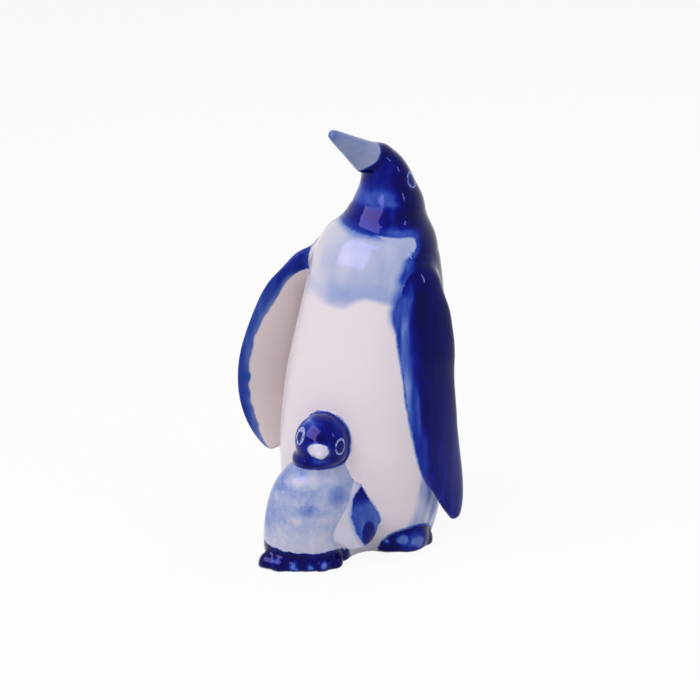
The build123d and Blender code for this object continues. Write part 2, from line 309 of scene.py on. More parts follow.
@dataclass
class DistanceGrid:
    """Dense grid of distances around the ornament.

    Attributes:
        low: Lowest corner of the object.
        high: Highest corner of the object.
        cell: Edge of one cell.
        reach: How far from a surface the distances are kept.
        margin: Cells around the object.
    """

    low: Array
    high: Array
    cell: float = 0.36
    reach: float = 4.3
    margin: int = 6

    def __post_init__(self) -> None:
        """Work out the cells that the grid covers."""
        self.first = np.floor(self.low / self.cell).astype(int) - self.margin
        self.shape = tuple(np.ceil(self.high / self.cell).astype(int) + self.margin - self.first)

    def places(self, box: Box) -> tuple[Array, Array, Array]:
        """Where the cells of a box lie.

        Args:
            box: Block of the grid.

        Returns:
            X, Y and Z of its cells, ready to broadcast.
        """
        axes = []
        for axis in range(3):
            count = box.values.shape[axis]
            shape = [1, 1, 1]
            shape[axis] = count
            line = (box.first[axis] + np.arange(count)) * self.cell
            axes.append(line.reshape(shape).astype(np.float32))
        return tuple(axes)

    def whole(self, value: float) -> Box:
        """Box over the whole grid filled with one value."""
        return Box(self.first.copy(), np.full(self.shape, value, np.float32))

    def measure(self, points: Array, triangles: Array) -> Box:
        """Distances to one closed mesh, in the block around it.

        Args:
            points: Corners in millimetres.
            triangles: Three corner numbers each.

        Returns:
            The block, with distances below zero inside the mesh.
        """
        level = vdb.FloatGrid.createLevelSetFromPolygons(
            points.astype(np.float32),
            triangles=triangles.astype(np.uint32),
            transform=vdb.createLinearTransform(voxelSize=self.cell),
            halfWidth=self.reach / self.cell,
        )
        spread = self.reach + self.cell
        first = np.floor((points.min(0) - spread) / self.cell).astype(int)
        last = np.ceil((points.max(0) + spread) / self.cell).astype(int)
        first = np.maximum(first, self.first)
        last = np.minimum(last, self.first + np.array(self.shape) - 1)
        values = np.zeros(tuple(last - first + 1), np.float32)
        level.copyToArray(values, ijk=tuple(int(v) for v in first))
        return Box(first, values)

    def window(self, box: Box) -> tuple[slice, slice, slice]:
        """Slices of the whole grid that a box covers."""
        start = box.first - self.first
        return tuple(slice(int(s), int(s + n)) for s, n in zip(start, box.values.shape))

    def sample(self, box: Box, points: Array) -> Array:
        """Distances at any places, between the cells and outside the box too.

        Args:
            box: Block of the grid.
            points: Places, one row each.

        Returns:
            One distance for each place.
        """
        place = points / self.cell - box.first
        inside = np.clip(place, 0, np.array(box.values.shape) - 1.001)
        outside = np.linalg.norm(place - inside, axis=1) * self.cell
        return between(box.values, inside) + outside

    def slope(self, box: Box, points: Array) -> Array:
        """Direction in which the distance grows.

        Args:
            box: Block of the grid.
            points: Places, one row each.

        Returns:
            A direction of length 1 for each place.
        """
        rows = []
        for axis in range(3):
            step = np.zeros(3)
            step[axis] = self.cell
            rows.append(self.sample(box, points + step) - self.sample(box, points - step))
        slope = np.stack(rows, 1)
        return slope / np.maximum(np.linalg.norm(slope, axis=1, keepdims=True), 1e-9)


def soften(values: Array, sigma: float) -> Array:
    """Gaussian blur of a grid, one axis after another.

    Args:
        values: Grid of distances.
        sigma: Spread in cells.

    Returns:
        The blurred grid.
    """
    reach = int(np.ceil(3 * sigma))
    taps = np.exp(-0.5 * (np.arange(-reach, reach + 1) / sigma) ** 2)
    taps = (taps / taps.sum()).astype(np.float32)
    for axis in range(3):
        padded = np.pad(values, [(reach, reach) if a == axis else (0, 0) for a in range(3)], mode="edge")
        blurred = np.zeros_like(values)
        for place, tap in enumerate(taps):
            part = [slice(None)] * 3
            part[axis] = slice(place, place + values.shape[axis])
            blurred += tap * padded[tuple(part)]
        values = blurred
    return values


def corners_of(mesh: bpy.types.Mesh) -> tuple[Array, Array]:
    """Read a mesh.

    Args:
        mesh: The mesh, in metres.

    Returns:
        Corners in millimetres, and triangles.
    """
    mesh.calc_loop_triangles()
    points = np.empty(len(mesh.vertices) * 3, np.float32)
    mesh.vertices.foreach_get("co", points)
    triangles = np.empty(len(mesh.loop_triangles) * 3, np.int32)
    mesh.loop_triangles.foreach_get("vertices", triangles)
    return points.reshape(-1, 3) / MM, triangles.reshape(-1, 3)


@dataclass(frozen=True)
class Joint:
    """How softly a piece runs into the rest.

    Attributes:
        low: Fillet at the bottom of the piece.
        high: Fillet at the top of the piece.
        turn: Height where the fillet is halfway between the two.
        spread: Height over which it changes.
    """

    low: float
    high: float
    turn: float = 0.0
    spread: float = 1.0

    def fillet(self, height: Array) -> Array:
        """Fillet width at the given heights."""
        share = smoothstep(-0.5, 0.5, (height - self.turn) / self.spread)
        return self.low + (self.high - self.low) * share


@dataclass(frozen=True)
class ToeFan:
    """Rounded toes laid side by side by a node tree.

    Attributes:
        heel: Point that the toes fan out from.
        heading: Direction of the middle toe, from the front towards the left side.
        reach: From the heel to the middle of a toe.
        length: Length of a toe.
        width: Width of a toe.
        height: Height of a toe above the table.
        spread: Angle between two toes.
        count: Number of toes.
        fillet: Width over which they run into the foot.
    """

    heel: tuple[float, float]
    heading: float
    reach: float
    length: float
    width: float
    height: float
    spread: float
    count: int = 3
    fillet: float = 0.9

    @staticmethod
    def tree() -> bpy.types.NodeTree:
        """Build the node tree that fans the toes, once.

        Returns:
            The node tree.
        """
        name = "toe_fan"
        if name in bpy.data.node_groups:
            return bpy.data.node_groups[name]
        group = bpy.data.node_groups.new(name, "GeometryNodeTree")
        for label, kind in (
            ("Count", "Int"),
            ("Heel", "Vector"),
            ("Heading", "Float"),
            ("Spread", "Float"),
            ("Reach", "Float"),
            ("Size", "Vector"),
            ("Material", "Material"),
        ):
            group.interface.new_socket(label, in_out="INPUT", socket_type="NodeSocket" + kind)
        group.interface.new_socket("Geometry", in_out="OUTPUT", socket_type="NodeSocketGeometry")
        tree = Tree(group)
        source, sink = tree.add("NodeGroupInput").outputs, tree.add("NodeGroupOutput").inputs
        middle = tree.ratio(tree.minus(source["Count"], 1.0), 2.0)
        steps = tree.minus(tree.use("GeometryNodeInputIndex", {}), middle)
        angle = tree.plus(source["Heading"], tree.times(steps, source["Spread"]))
        across = tree.times(tree.math("SINE", angle), source["Reach"])
        ahead = tree.times(tree.times(tree.math("COSINE", angle), source["Reach"]), -1.0)
        offset = tree.use("ShaderNodeCombineXYZ", {0: across, 1: ahead})
        place = tree.vector("ADD", source["Heel"], offset)
        points = tree.use("GeometryNodePoints", {"Count": source["Count"], "Position": place})
        ball = tree.use("GeometryNodeMeshUVSphere", {"Segments": 24, "Rings": 16, "Radius": 0.5}, "Mesh")
        turn = tree.use("ShaderNodeCombineXYZ", {2: angle})
        laid = tree.use(
            "GeometryNodeInstanceOnPoints",
            {"Points": points, "Instance": ball, "Rotation": turn, "Scale": source["Size"]},
        )
        whole = tree.use("GeometryNodeRealizeInstances", {0: laid})
        feeds = {"Geometry": whole, "Material": source["Material"]}
        tree.put(tree.use("GeometryNodeSetMaterial", feeds), sink[0])
        return group

    def build(self, name: str) -> tuple[Array, Array]:
        """Lay the toes, and read them from the evaluated node tree.

        Args:
            name: Piece that the toes belong to.

        Returns:
            Corners in millimetres, and triangles.
        """
        group = self.tree()
        carrier = bpy.data.objects.new(name + "_toes", bpy.data.meshes.new(name + "_toes"))
        bpy.context.scene.collection.objects.link(carrier)
        modifier = carrier.modifiers.new("toe_fan", "NODES")
        modifier.node_group = group
        sizes = {
            "Count": self.count,
            "Heel": (self.heel[0] * MM, self.heel[1] * MM, 0.0),
            "Heading": radians(self.heading),
            "Spread": radians(self.spread),
            "Reach": self.reach * MM,
            "Size": (self.width * MM, self.length * MM, 2.0 * self.height * MM),
        }
        for item in group.interface.items_tree:
            if item.in_out == "INPUT" and item.name in sizes:
                modifier[item.identifier] = sizes[item.name]
        evaluated = carrier.evaluated_get(bpy.context.evaluated_depsgraph_get())
        mesh = bpy.data.meshes.new_from_object(evaluated)
        toes = corners_of(mesh)
        bpy.data.objects.remove(carrier)
        bpy.data.meshes.remove(mesh)
        return toes


@dataclass
class Skin:
    """Outer surface of the whole ornament.

    Attributes:
        points: Points in millimetres.
        quads: Four point numbers for each face, turned outwards.
        normals: Direction outwards at each point.
        owner: Name of the piece that each face belongs to.
    """

    points: Array
    quads: Array
    normals: Array
    owner: Array


@dataclass
class Casting:
    """The whole ornament as one softened body, cut into its pieces again.

    Attributes:
        nodes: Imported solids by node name.
        grid: Grid that holds the distances.
        melt: Spread of the softening that the glaze gives, in cells.
        boxes: Distances to each piece.
        body: Distances to the whole body.
        settle: Passes that draw the points onto the surface, and the most that one may move them.
        tidy_passes: Passes that straighten the borders between the pieces.
        speck: Faces of the largest loose patch that a piece gives away.
        wall: Depth of a thin piece's inner skin.
        lidded_from: Faces from which a piece is closed with lids, not with an inner skin.
        lid_step: How far a lid's ring sinks in each of its three steps.
        lid_depth: How deep the middle of a lid comes to lie.
        middle_step: How far the middle sinks in each of its steps, at most eight.
    """

    nodes: dict[str, bpy.types.Object]
    grid: DistanceGrid
    melt: float = 1.15
    boxes: dict[str, Box] = field(default_factory=dict)
    body: Box | None = None
    settle: tuple[int, float] = (3, 0.2)
    tidy_passes: int = 14
    speck: int = 400
    wall: float = 0.35
    lidded_from: int = 40000
    lid_step: float = 0.3
    lid_depth: float = 1.6
    middle_step: float = 0.4

    @classmethod
    def around(cls, nodes: dict[str, bpy.types.Object]) -> "Casting":
        """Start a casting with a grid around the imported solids.

        Args:
            nodes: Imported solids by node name.

        Returns:
            The casting.
        """
        corners = [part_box(name) for name in nodes]
        low = np.min([np.array(c[0]) for c in corners], 0) / MM
        high = np.max([np.array(c[1]) for c in corners], 0) / MM
        return cls(nodes, DistanceGrid(low, high))

    def measure(self, name: str, toes: ToeFan | None) -> None:
        """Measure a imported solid, and lute rounded toes onto it where it has them.

        Args:
            name: Node of the solid.
            toes: The toes, or None.
        """
        box = self.boxes[name] = self.grid.measure(*corners_of(self.nodes[name].data))
        if toes is None:
            return
        fan = self.grid.measure(*toes.build(name))
        start = np.maximum(box.first, fan.first)
        stop = np.minimum(box.first + box.values.shape, fan.first + fan.values.shape)
        here = tuple(slice(a, b) for a, b in zip(start - box.first, stop - box.first))
        there = tuple(slice(a, b) for a, b in zip(start - fan.first, stop - fan.first))
        box.values[here] = smooth_min(box.values[here], fan.values[there], toes.fillet)

    def fill(self, shells: Sequence[str]) -> None:
        """Start the body from slip-cast shells, with the hollow inside them filled.

        Args:
            shells: Names of the shells.
        """
        self.body = self.grid.whole(self.grid.reach)
        for name in shells:
            part = self.part_of(name)
            np.minimum(part, self.boxes[name].values, out=part)
        solid = self.body.values < 0
        before = np.maximum.accumulate(solid, axis=0)
        after = np.maximum.accumulate(solid[::-1], axis=0)[::-1]
        self.body.values[before & after & ~solid] = -self.grid.reach

    def part_of(self, name: str) -> Array:
        """The body's distances in the block around a piece, to be changed in place."""
        return self.body.values[self.grid.window(self.boxes[name])]

    def lute(self, name: str, joint: Joint) -> None:
        """Join a piece to the body with its own fillet.

        Args:
            name: Name of the piece.
            joint: Its fillet.
        """
        box, part = self.boxes[name], self.part_of(name)
        fillet = joint.fillet(self.grid.places(box)[2]).astype(np.float32)
        part[...] = smooth_min(part, box.values, fillet)

    def soften(self) -> None:
        """Soften the whole body, as the glaze does."""
        self.body.values = soften(self.body.values, self.melt)

    def carve(self, tool: Array, fillet: float) -> None:
        """Take a tool's form away from the body, with a soft edge."""
        self.body.values = -smooth_min(-self.body.values, tool, fillet)

    def surface(self) -> tuple[Array, Array]:
        """Find the softened surface.

        Returns:
            Points in millimetres, and four point numbers for each face, turned outwards.
        """
        limit = 2 * self.grid.cell
        volume = vdb.FloatGrid(limit)
        volume.transform = vdb.createLinearTransform(voxelSize=self.grid.cell)
        clipped = np.clip(self.body.values, -limit, limit).astype(np.float32)
        volume.copyFromArray(clipped, ijk=tuple(int(v) for v in self.body.first))
        points, quads = volume.convertToQuads(isovalue=0.0)
        points = points.astype(float)
        passes, most = self.settle
        for _ in range(passes):
            slope = self.grid.slope(self.body, points)
            points -= slope * np.clip(self.grid.sample(self.body, points), -most, most)[:, None]
        points[:, 2] = np.maximum(points[:, 2], 0.0)
        corners = points[quads[:, :3]]
        facing = np.cross(corners[:, 1] - corners[:, 0], corners[:, 2] - corners[:, 0])
        if (facing * self.grid.slope(self.body, corners.mean(1))).sum() < 0:
            quads = quads[:, ::-1]
        return points, quads.astype(int)

    def skin(self) -> Skin:
        """Find the surface and share it out to the pieces.

        Returns:
            The skin.
        """
        points, quads = self.surface()
        owner = self.share_out(points, quads)
        return Skin(points, quads, self.grid.slope(self.body, points), owner)

    def share_out(self, points: Array, quads: Array) -> Array:
        """Give every face to the piece whose solid lies nearest, with clean borders and no specks.

        Args:
            points: Points of the whole surface.
            quads: Faces of the whole surface.

        Returns:
            The name of each face's piece.
        """
        names = list(self.nodes)
        middle = points[quads].mean(1)
        owner = np.stack([self.grid.sample(self.boxes[name], middle) for name in names], 1).argmin(1)
        beside = neighbours(quads, len(points))
        for _ in range(self.tidy_passes):
            around = owner[beside]
            edge = np.flatnonzero((around != owner[:, None]).any(1))
            labels = np.concatenate([owner[edge, None], around[edge]], 1)
            count = (labels[:, :, None] == labels[:, None, :]).sum(2)
            owner[edge] = labels[np.arange(len(edge)), count.argmax(1)]
        self.drop_specks(owner, beside)
        return np.array(names)[owner]

    def drop_specks(self, owner: Array, beside: Array) -> None:
        """Give each small loose patch of faces to the piece around it, but a piece's largest patch.

        Args:
            owner: Piece number of each face, changed in place.
            beside: The four faces beside each face.
        """
        sides, seen, patches = beside.tolist(), np.zeros(len(owner), bool), []
        for start in range(len(owner)):
            if seen[start]:
                continue
            seen[start] = True
            label, patch, others = owner[start], [start], []
            for face in patch:
                for other in sides[face]:
                    if owner[other] != label:
                        others.append(owner[other])
                    elif not seen[other]:
                        seen[other] = True
                        patch.append(other)
            patches.append((label, patch, others))
        largest = np.zeros(owner.max() + 1, int)
        for label, patch, _ in patches:
            largest[label] = max(largest[label], len(patch))
        for label, patch, others in patches:
            if len(patch) < min(self.speck, largest[label]) and others:
                owner[patch] = np.bincount(others).argmax()

    def inward(self, places: Array, depth: float) -> Array:
        """Places moved into the body by a depth."""
        return places - depth * self.grid.slope(self.body, places)

    def close_up(self, places: Array, faces: Array) -> tuple[Array, list[list[int]]]:
        """Close a piece on its hidden side: a thin one by an inner skin, a large one by sunk lids.

        Args:
            places: Points of the piece's outer skin.
            faces: Faces of the outer skin.

        Returns:
            All points and all faces, with the outer skin first.
        """
        rows, loops = faces.tolist(), open_loops(faces)
        if len(faces) < self.lidded_from:
            count = len(places)
            rows = rows + [[count + corner for corner in reversed(row)] for row in rows]
            for loop in loops:
                rows += [[a, b, count + b, count + a] for a, b in zip(loop, loop[1:] + loop[:1])]
            return np.concatenate([places, self.inward(places, self.wall)]), rows
        for loop in loops:
            sunk = places[loop]
            for _ in range(3):
                sunk = self.inward(sunk, self.lid_step)
            middle = sunk.mean(0, keepdims=True)
            for _ in range(8):
                if self.grid.sample(self.body, middle)[0] > -self.lid_depth:
                    middle = self.inward(middle, self.middle_step)
            ring = list(range(len(places), len(places) + len(loop)))
            after, ring_after = loop[1:] + loop[:1], ring[1:] + ring[:1]
            places = np.concatenate([places, sunk, middle])
            rows += [[a, b, d, c] for a, b, c, d in zip(loop, after, ring, ring_after)]
            rows += [[a, b, len(places) - 1] for a, b in zip(ring, ring_after)]
        return places, rows


def neighbours(quads: Array, count: int) -> Array:
    """The four faces beside each face of a closed skin.

    Args:
        quads: Four point numbers for each face.
        count: Number of points.

    Returns:
        Four face numbers for each face.
    """
    sides = np.sort(np.stack([quads, np.roll(quads, -1, 1)], 2).reshape(-1, 2), 1)
    key = sides[:, 0].astype(np.int64) * count + sides[:, 1]
    order = np.argsort(key, kind="stable")
    same = np.flatnonzero(key[order][1:] == key[order][:-1])
    beside = np.repeat(np.arange(len(quads)), 4)
    first, second = order[same], order[same + 1]
    beside[first], beside[second] = second // 4, first // 4
    return beside.reshape(-1, 4)


def open_loops(faces: Array) -> list[list[int]]:
    """Chains of points along the open borders of a piece.

    Args:
        faces: Four point numbers for each face.

    Returns:
        One list of point numbers for each border, in the order opposite to its faces.
    """
    sides = np.stack([faces, np.roll(faces, -1, 1)], 2).reshape(-1, 2)
    there = {(a, b) for a, b in sides.tolist()}
    onward: dict[int, list[int]] = {}
    for a, b in there:
        if (b, a) not in there:
            onward.setdefault(b, []).append(a)
    loops = []
    for start in sorted(onward):
        while onward[start]:
            loop, at = [start], onward[start].pop()
            while at != start:
                loop.append(at)
                at = onward[at].pop()
            loops.append(loop)
    return loops


# ---------------------------------------------------------------- finish

# Share of red, green and blue that cobalt of density 1 lets through, and how strongly all ink is laid
TRANSMITTANCE = (0.365, 0.49, 0.818)
INK_STRENGTH = 1.04
Sockets = bpy.types.bpy_prop_collection


def new_group(
    name: str, inputs: Sequence[tuple[str, str, object]], outputs: Sequence[tuple[str, str]]
) -> tuple[bpy.types.NodeTree, Tree, Sockets, Sockets]:
    """Empty shader node group with named sockets.

    Args:
        name: Name of the group.
        inputs: Name, kind and default of each input.
        outputs: Name and kind of each output.

    Returns:
        The group, its helper, what comes in and what goes out.
    """
    group = bpy.data.node_groups.new(name, "ShaderNodeTree")
    for label, kind, default in inputs:
        socket = group.interface.new_socket(label, in_out="INPUT", socket_type="NodeSocket" + kind)
        if default is not None:
            socket.default_value = default
    for label, kind in outputs:
        group.interface.new_socket(label, in_out="OUTPUT", socket_type="NodeSocket" + kind)
    tree = Tree(group)
    return group, tree, tree.add("NodeGroupInput").outputs, tree.add("NodeGroupOutput").inputs


def cobalt_density_group() -> bpy.types.NodeTree:
    """Group that turns the painted attributes into a density with brush streaks and sponge marks.

    Returns:
        The group.
    """
    group, tree, source, sink = new_group(
        "cobalt_density",
        (
            ("Ink", "Float", 8.0),
            ("Wash", "Float", 0.0),
            ("Edge", "Float", 1.0),
            ("Stroke", "Vector", None),
            ("Position", "Vector", None),
            ("Feather", "Float", 0.35),
            ("Streaks", "Float", 0.3),
            ("Sponge", "Float", 0.0),
        ),
        (("Density", "Float"),),
    )
    along = tree.stretch(source["Stroke"], (1.0, 0.07, 0.3))
    coarse = tree.noise(along, 0.9, 4.0, 0.6)
    fine = tree.noise(along, 3.2, 3.0, 0.6)
    hair = tree.minus(tree.plus(tree.times(coarse, 1.3), tree.times(fine, 0.7)), 1.0)
    lumps = tree.noise(source["Position"], 900.0, 4.0, 0.65)
    dabs = tree.noise(source["Position"], 320.0, 2.0, 0.5)
    marks = tree.minus(tree.plus(lumps, dabs), 1.0)
    wander = tree.plus(tree.times(hair, 0.25), tree.times(marks, 0.45))
    edge = tree.plus(source["Edge"], wander)
    inside = tree.ramp(edge, tree.times(source["Feather"], -1.0), source["Feather"])
    base = tree.blend(inside, source["Wash"], tree.times(source["Ink"], INK_STRENGTH))
    gain = tree.plus(tree.times(hair, source["Streaks"]), 1.0)
    gain = tree.plus(gain, tree.times(marks, source["Sponge"]))
    tree.put(tree.math("MAXIMUM", tree.times(base, gain), 0.0), sink["Density"])
    return group


def cobalt_colour_group() -> bpy.types.NodeTree:
    """Group that gives the colour of cobalt over a ground, each channel held back by its own rate.

    Returns:
        The group.
    """
    group, tree, source, sink = new_group(
        "cobalt_colour",
        (("Density", "Float", 0.0), ("Ground", "Color", (0.8, 0.75, 0.78, 1.0))),
        (("Color", "Color"),),
    )
    parts = tree.add("ShaderNodeSeparateColor")
    tree.put(source["Ground"], parts.inputs[0])
    channels = {
        place: tree.times(parts.outputs[place], tree.math("POWER", kept, source["Density"]))
        for place, kept in enumerate(TRANSMITTANCE)
    }
    tree.put(tree.use("ShaderNodeCombineColor", channels), sink["Color"])
    return group


def eye_group() -> bpy.types.NodeTree:
    """Group that scratches a pale ring with a dark pupil into the paint.

    Returns:
        The group.
    """
    group, tree, source, sink = new_group(
        "scratched_eye",
        (
            ("Density", "Float", 0.0),
            ("Position", "Vector", None),
            ("Centre", "Vector", None),
            ("Squash", "Vector", (1.0, 1.0, 1.0)),
            ("Radius", "Float", 0.0018),
            ("Line", "Float", 0.0003),
            ("Fleck", "Float", 0.5),
        ),
        (("Density", "Float"), ("Height", "Float")),
    )
    away = tree.vector("SUBTRACT", source["Position"], source["Centre"])
    squashed = tree.vector("MULTIPLY", away, source["Squash"])
    length = tree.use("ShaderNodeVectorMath", {0: squashed}, "Value", operation="LENGTH")
    shake = tree.minus(tree.noise(source["Position"], 700.0, 2.0), 0.5)
    distance = tree.plus(length, tree.times(shake, 0.6 * MM))
    off = tree.math("ABSOLUTE", tree.minus(distance, source["Radius"]))
    ring = tree.minus(1.0, tree.ramp(tree.ratio(off, source["Line"]), 0.55, 1.25))
    broken = tree.ramp(tree.noise(source["Position"], 1500.0, 2.0), 0.36, 0.50)
    ring = tree.times(ring, tree.blend(source["Fleck"], 1.0, broken))
    pupil = tree.minus(1.0, tree.ramp(tree.ratio(distance, source["Radius"]), 0.78, 0.95))
    dark, pale = 8.4, 0.35
    paint = tree.blend(pupil, source["Density"], dark)
    tree.put(tree.blend(tree.times(ring, 0.94), paint, pale), sink["Density"])
    tree.put(tree.times(ring, -1.0), sink["Height"])
    return group


def glaze_relief_group() -> bpy.types.NodeTree:
    """Group for the glaze's own surface: orange peel, a few pin pricks and the ridges of the modelling.

    Returns:
        The group.
    """
    group, tree, source, sink = new_group(
        "glaze_relief",
        (("Position", "Vector", None), ("Peel", "Float", 0.3), ("Ridges", "Float", 0.0)),
        (("Height", "Float"), ("Pricks", "Float")),
    )
    peel = tree.noise(source["Position"], 260.0, 2.0, 0.4)
    lumps = tree.noise(source["Position"], 90.0, 2.0, 0.5)
    level = tree.stretch(source["Position"], (0.25, 0.25, 1.6))
    ridges = tree.noise(level, 700.0, 2.0, 0.5)
    cells = {"Vector": source["Position"], "Scale": 330.0}
    away = tree.use("ShaderNodeTexVoronoi", cells, "Distance", feature="F1")
    pricks = tree.minus(1.0, tree.ramp(away, 0.02, 0.06))
    height = tree.plus(tree.times(peel, source["Peel"]), tree.times(lumps, 0.6))
    height = tree.plus(height, tree.times(ridges, source["Ridges"]))
    tree.put(tree.minus(height, tree.times(pricks, 0.3)), sink["Height"])
    tree.put(pricks, sink["Pricks"])
    return group


class Ground(Enum):
    """Colour under the cobalt, one of them warmed as painted shade, or of the bare clay of the underside."""

    PORCELAIN = (0.80, 0.735, 0.755, 1.0)
    # Warm ground that paints the shade and warm bounced light on the far flipper's inner face
    WARM_SHADE = (0.88, 0.75, 0.665, 1.0)
    BEAK = (0.64, 0.575, 0.56, 1.0)
    BARE = (0.72, 0.69, 0.66, 1.0)


@dataclass(frozen=True)
class Eye:
    """A scratched eye ring.

    Attributes:
        centre: Its middle.
        squash: How much its distances grow along each axis.
        radius: Radius of the ring.
        line: Width of the scratched line.
        fleck: How broken the line is, from 0 to 1.
    """

    centre: Point
    squash: Point
    radius: float
    line: float
    fleck: float


@dataclass(frozen=True)
class CobaltGlaze:
    """Clear gloss glaze over cobalt brushwork.

    Attributes:
        name: Name of the material.
        ground: Colour under the cobalt.
        feather: Softness of the painted edge.
        streaks: Strength of the brush streaks.
        sponge: Strength of the sponge marks.
        peel: Strength of the glaze's orange peel.
        ridges: Strength of the level ridges left by the modelling.
        gloss: Roughness of the glaze.
        matt: Roughness of the bare underside.
        ior: Index of refraction.
        mirror: Specular level.
        tint: Specular tint.
        relief: Strength and distance of the bump, the distance in metres.
        eyes: Eye rings scratched through the paint.
    """

    name: str
    ground: Ground = Ground.PORCELAIN
    feather: float = 0.35
    streaks: float = 0.3
    sponge: float = 0.0
    peel: float = 0.3
    ridges: float = 0.0
    gloss: float = 0.07
    matt: float = 0.7
    ior: float = 1.52
    mirror: float = 0.22
    tint: tuple[float, ...] = (0.42, 0.37, 1.0, 1.0)
    relief: Span = (0.12, 0.0003)
    eyes: tuple[Eye, ...] = ()

    def build(self, groups: dict[str, bpy.types.NodeTree]) -> bpy.types.Material:
        """Make the material.

        Args:
            groups: The shared shader groups by name.

        Returns:
            The material.
        """
        material = bpy.data.materials.new(self.name)
        material.use_nodes = True
        material.node_tree.nodes.clear()
        tree = Tree(material.node_tree)
        place = tree.add("ShaderNodeTexCoord").outputs["Object"]

        def group(name: str, **feeds: object) -> Sockets:
            """Place a shared group and feed its inputs.

            Args:
                name: Name of the group.
                feeds: Value or output for each input.

            Returns:
                Its outputs.
            """
            node = tree.add("ShaderNodeGroup", node_tree=groups[name])
            for key, value in feeds.items():
                tree.put(value, node.inputs[key])
            return node.outputs

        def painted(name: str, output: str = "Fac") -> bpy.types.NodeSocket:
            """Output of a painted attribute."""
            return tree.use("ShaderNodeAttribute", {}, output, attribute_name=name)

        density = group(
            "cobalt_density",
            Ink=painted("ink"),
            Wash=painted("wash"),
            Edge=painted("edge"),
            Stroke=painted("stroke", "Vector"),
            Position=place,
            Feather=self.feather,
            Streaks=self.streaks,
            Sponge=self.sponge,
        )["Density"]
        height = group("glaze_relief", Position=place, Peel=self.peel, Ridges=self.ridges)["Height"]
        for eye in self.eyes:
            ring = group(
                "scratched_eye",
                Density=density,
                Position=place,
                Centre=tuple(v * MM for v in eye.centre),
                Squash=eye.squash,
                Radius=eye.radius * MM,
                Line=eye.line * MM,
                Fleck=eye.fleck,
            )
            density = ring["Density"]
            height = tree.plus(height, ring["Height"])
        colour = group("cobalt_colour", Density=density, Ground=self.ground.value)["Color"]
        bare = painted("bare")
        cover = tree.use("ShaderNodeMix", {0: bare, 6: colour, 7: Ground.BARE.value}, 2, data_type="RGBA")
        strength, distance = self.relief
        bump = tree.use("ShaderNodeBump", {"Strength": strength, "Distance": distance, "Height": height})
        shader = tree.use(
            "ShaderNodeBsdfPrincipled",
            {
                "Base Color": cover,
                "Roughness": tree.blend(bare, self.gloss, self.matt),
                "IOR": self.ior,
                "Specular IOR Level": self.mirror,
                "Specular Tint": self.tint,
                "Normal": bump,
            },
        )
        tree.put(shader, tree.add("ShaderNodeOutputMaterial").inputs["Surface"])
        return material


class Kiln:
    """Keeps the shared shader groups, and makes each glaze once."""

    def __init__(self) -> None:
        """Build the shared groups."""
        self.groups = {
            "cobalt_density": cobalt_density_group(),
            "cobalt_colour": cobalt_colour_group(),
            "scratched_eye": eye_group(),
            "glaze_relief": glaze_relief_group(),
        }
        self.materials: dict[CobaltGlaze, bpy.types.Material] = {}

    def material(self, glaze: CobaltGlaze) -> bpy.types.Material:
        """Find or make the material of a glaze.

        Args:
            glaze: The glaze.

        Returns:
            Its material.
        """
        if glaze not in self.materials:
            self.materials[glaze] = glaze.build(self.groups)
        return self.materials[glaze]


# ---------------------------------------------------------------- figures


@dataclass
class Paint:
    """Brushwork on one piece, a value for each point.

    Attributes:
        ink: Density of the cobalt inside its edge.
        wash: Density outside the edge.
        edge: Distance to the edge in millimetres, above zero inside the ink.
        stroke: Place across and along the brush strokes, in millimetres.
    """

    ink: Array
    wash: Array
    edge: Array
    stroke: Array

    @classmethod
    def plain(cls, points: Array, ink: float) -> "Paint":
        """Even ink all over."""
        return cls(even(points, ink), even(points, 0.0), even(points, 3.0), points.copy())

    def lay(self, mesh: bpy.types.Mesh, bare: Array) -> None:
        """Store the paint as attributes of a mesh.

        Args:
            mesh: Mesh with the painted points.
            bare: Share of bare, unglazed clay at each point.
        """
        for label, values in (("ink", self.ink), ("wash", self.wash), ("edge", self.edge), ("bare", bare)):
            layer = mesh.attributes.new(label, "FLOAT", "POINT")
            layer.data.foreach_set("value", np.asarray(values, np.float32))
        layer = mesh.attributes.new("stroke", "FLOAT_VECTOR", "POINT")
        layer.data.foreach_set("vector", np.asarray(self.stroke, np.float32).ravel())


def thin_and_highlit_places(points: Array, ink: float, pale: float, places: Table) -> Paint:
    """Dark glaze that has run thin over a few raised places, which also stand in for painted highlights.

    Args:
        points: Points to paint.
        ink: Density of the dark glaze.
        pale: Density at the middle of a thin place and its painted highlight.
        places: Centre and radius of each thin place with its painted highlight.

    Returns:
        The paint.
    """
    paint = Paint.plain(points, ink)
    wobble = 1.0 + 0.35 * value_noise(points, (1.3, 1.3, 1.3), 23)
    drift = np.stack([value_noise(points, (1.9, 1.9, 1.9), seed) for seed in (51, 52, 53)], 1)
    thin = np.zeros(len(points))
    for *centre, radius in places:
        thin = np.maximum(thin, bump_at(points + 0.9 * drift, centre, radius) * wobble)
    # The raised places are paler partly from thin glaze and partly as painted highlights
    paint.ink = ink + (pale - ink) * np.minimum(thin * 1.5, 1.0)
    return paint


@dataclass(frozen=True)
class Part:
    """What one piece of a figure is made with.

    Attributes:
        slot: Name of its material slot, not used.
        glaze: Glaze over its cobalt.
        joint: How softly it is luted on, or None for a slip-cast shell.
        toes: Toes laid onto it, where it is a foot.
    """

    slot: str
    glaze: CobaltGlaze
    joint: Joint | None = None
    toes: ToeFan | None = None


FOOT_GLAZE = CobaltGlaze("foot_glaze", streaks=0.0, sponge=0.35)
CHICK_FLIPPER_GLAZE = CobaltGlaze("chick_flipper_glaze", streaks=0.25)
ADULT_EYES = (
    Eye((9.6, 5.3, 86.9), (1.0, 1.0, 1.0), 1.8, 0.34, 0.25),
    Eye((-0.4, 11.3, 86.9), (1.0, 1.0, 1.0), 1.8, 0.34, 0.25),
)
CHICK_EYES = (
    Eye((4.7, -22.6, 30.6), (1.15, 1.15, 0.92), 1.6, 0.30, 0.6),
    Eye((-4.5, -25.2, 32.7), (1.1, 1.1, 0.88), 1.5, 0.62, 0.75),
)
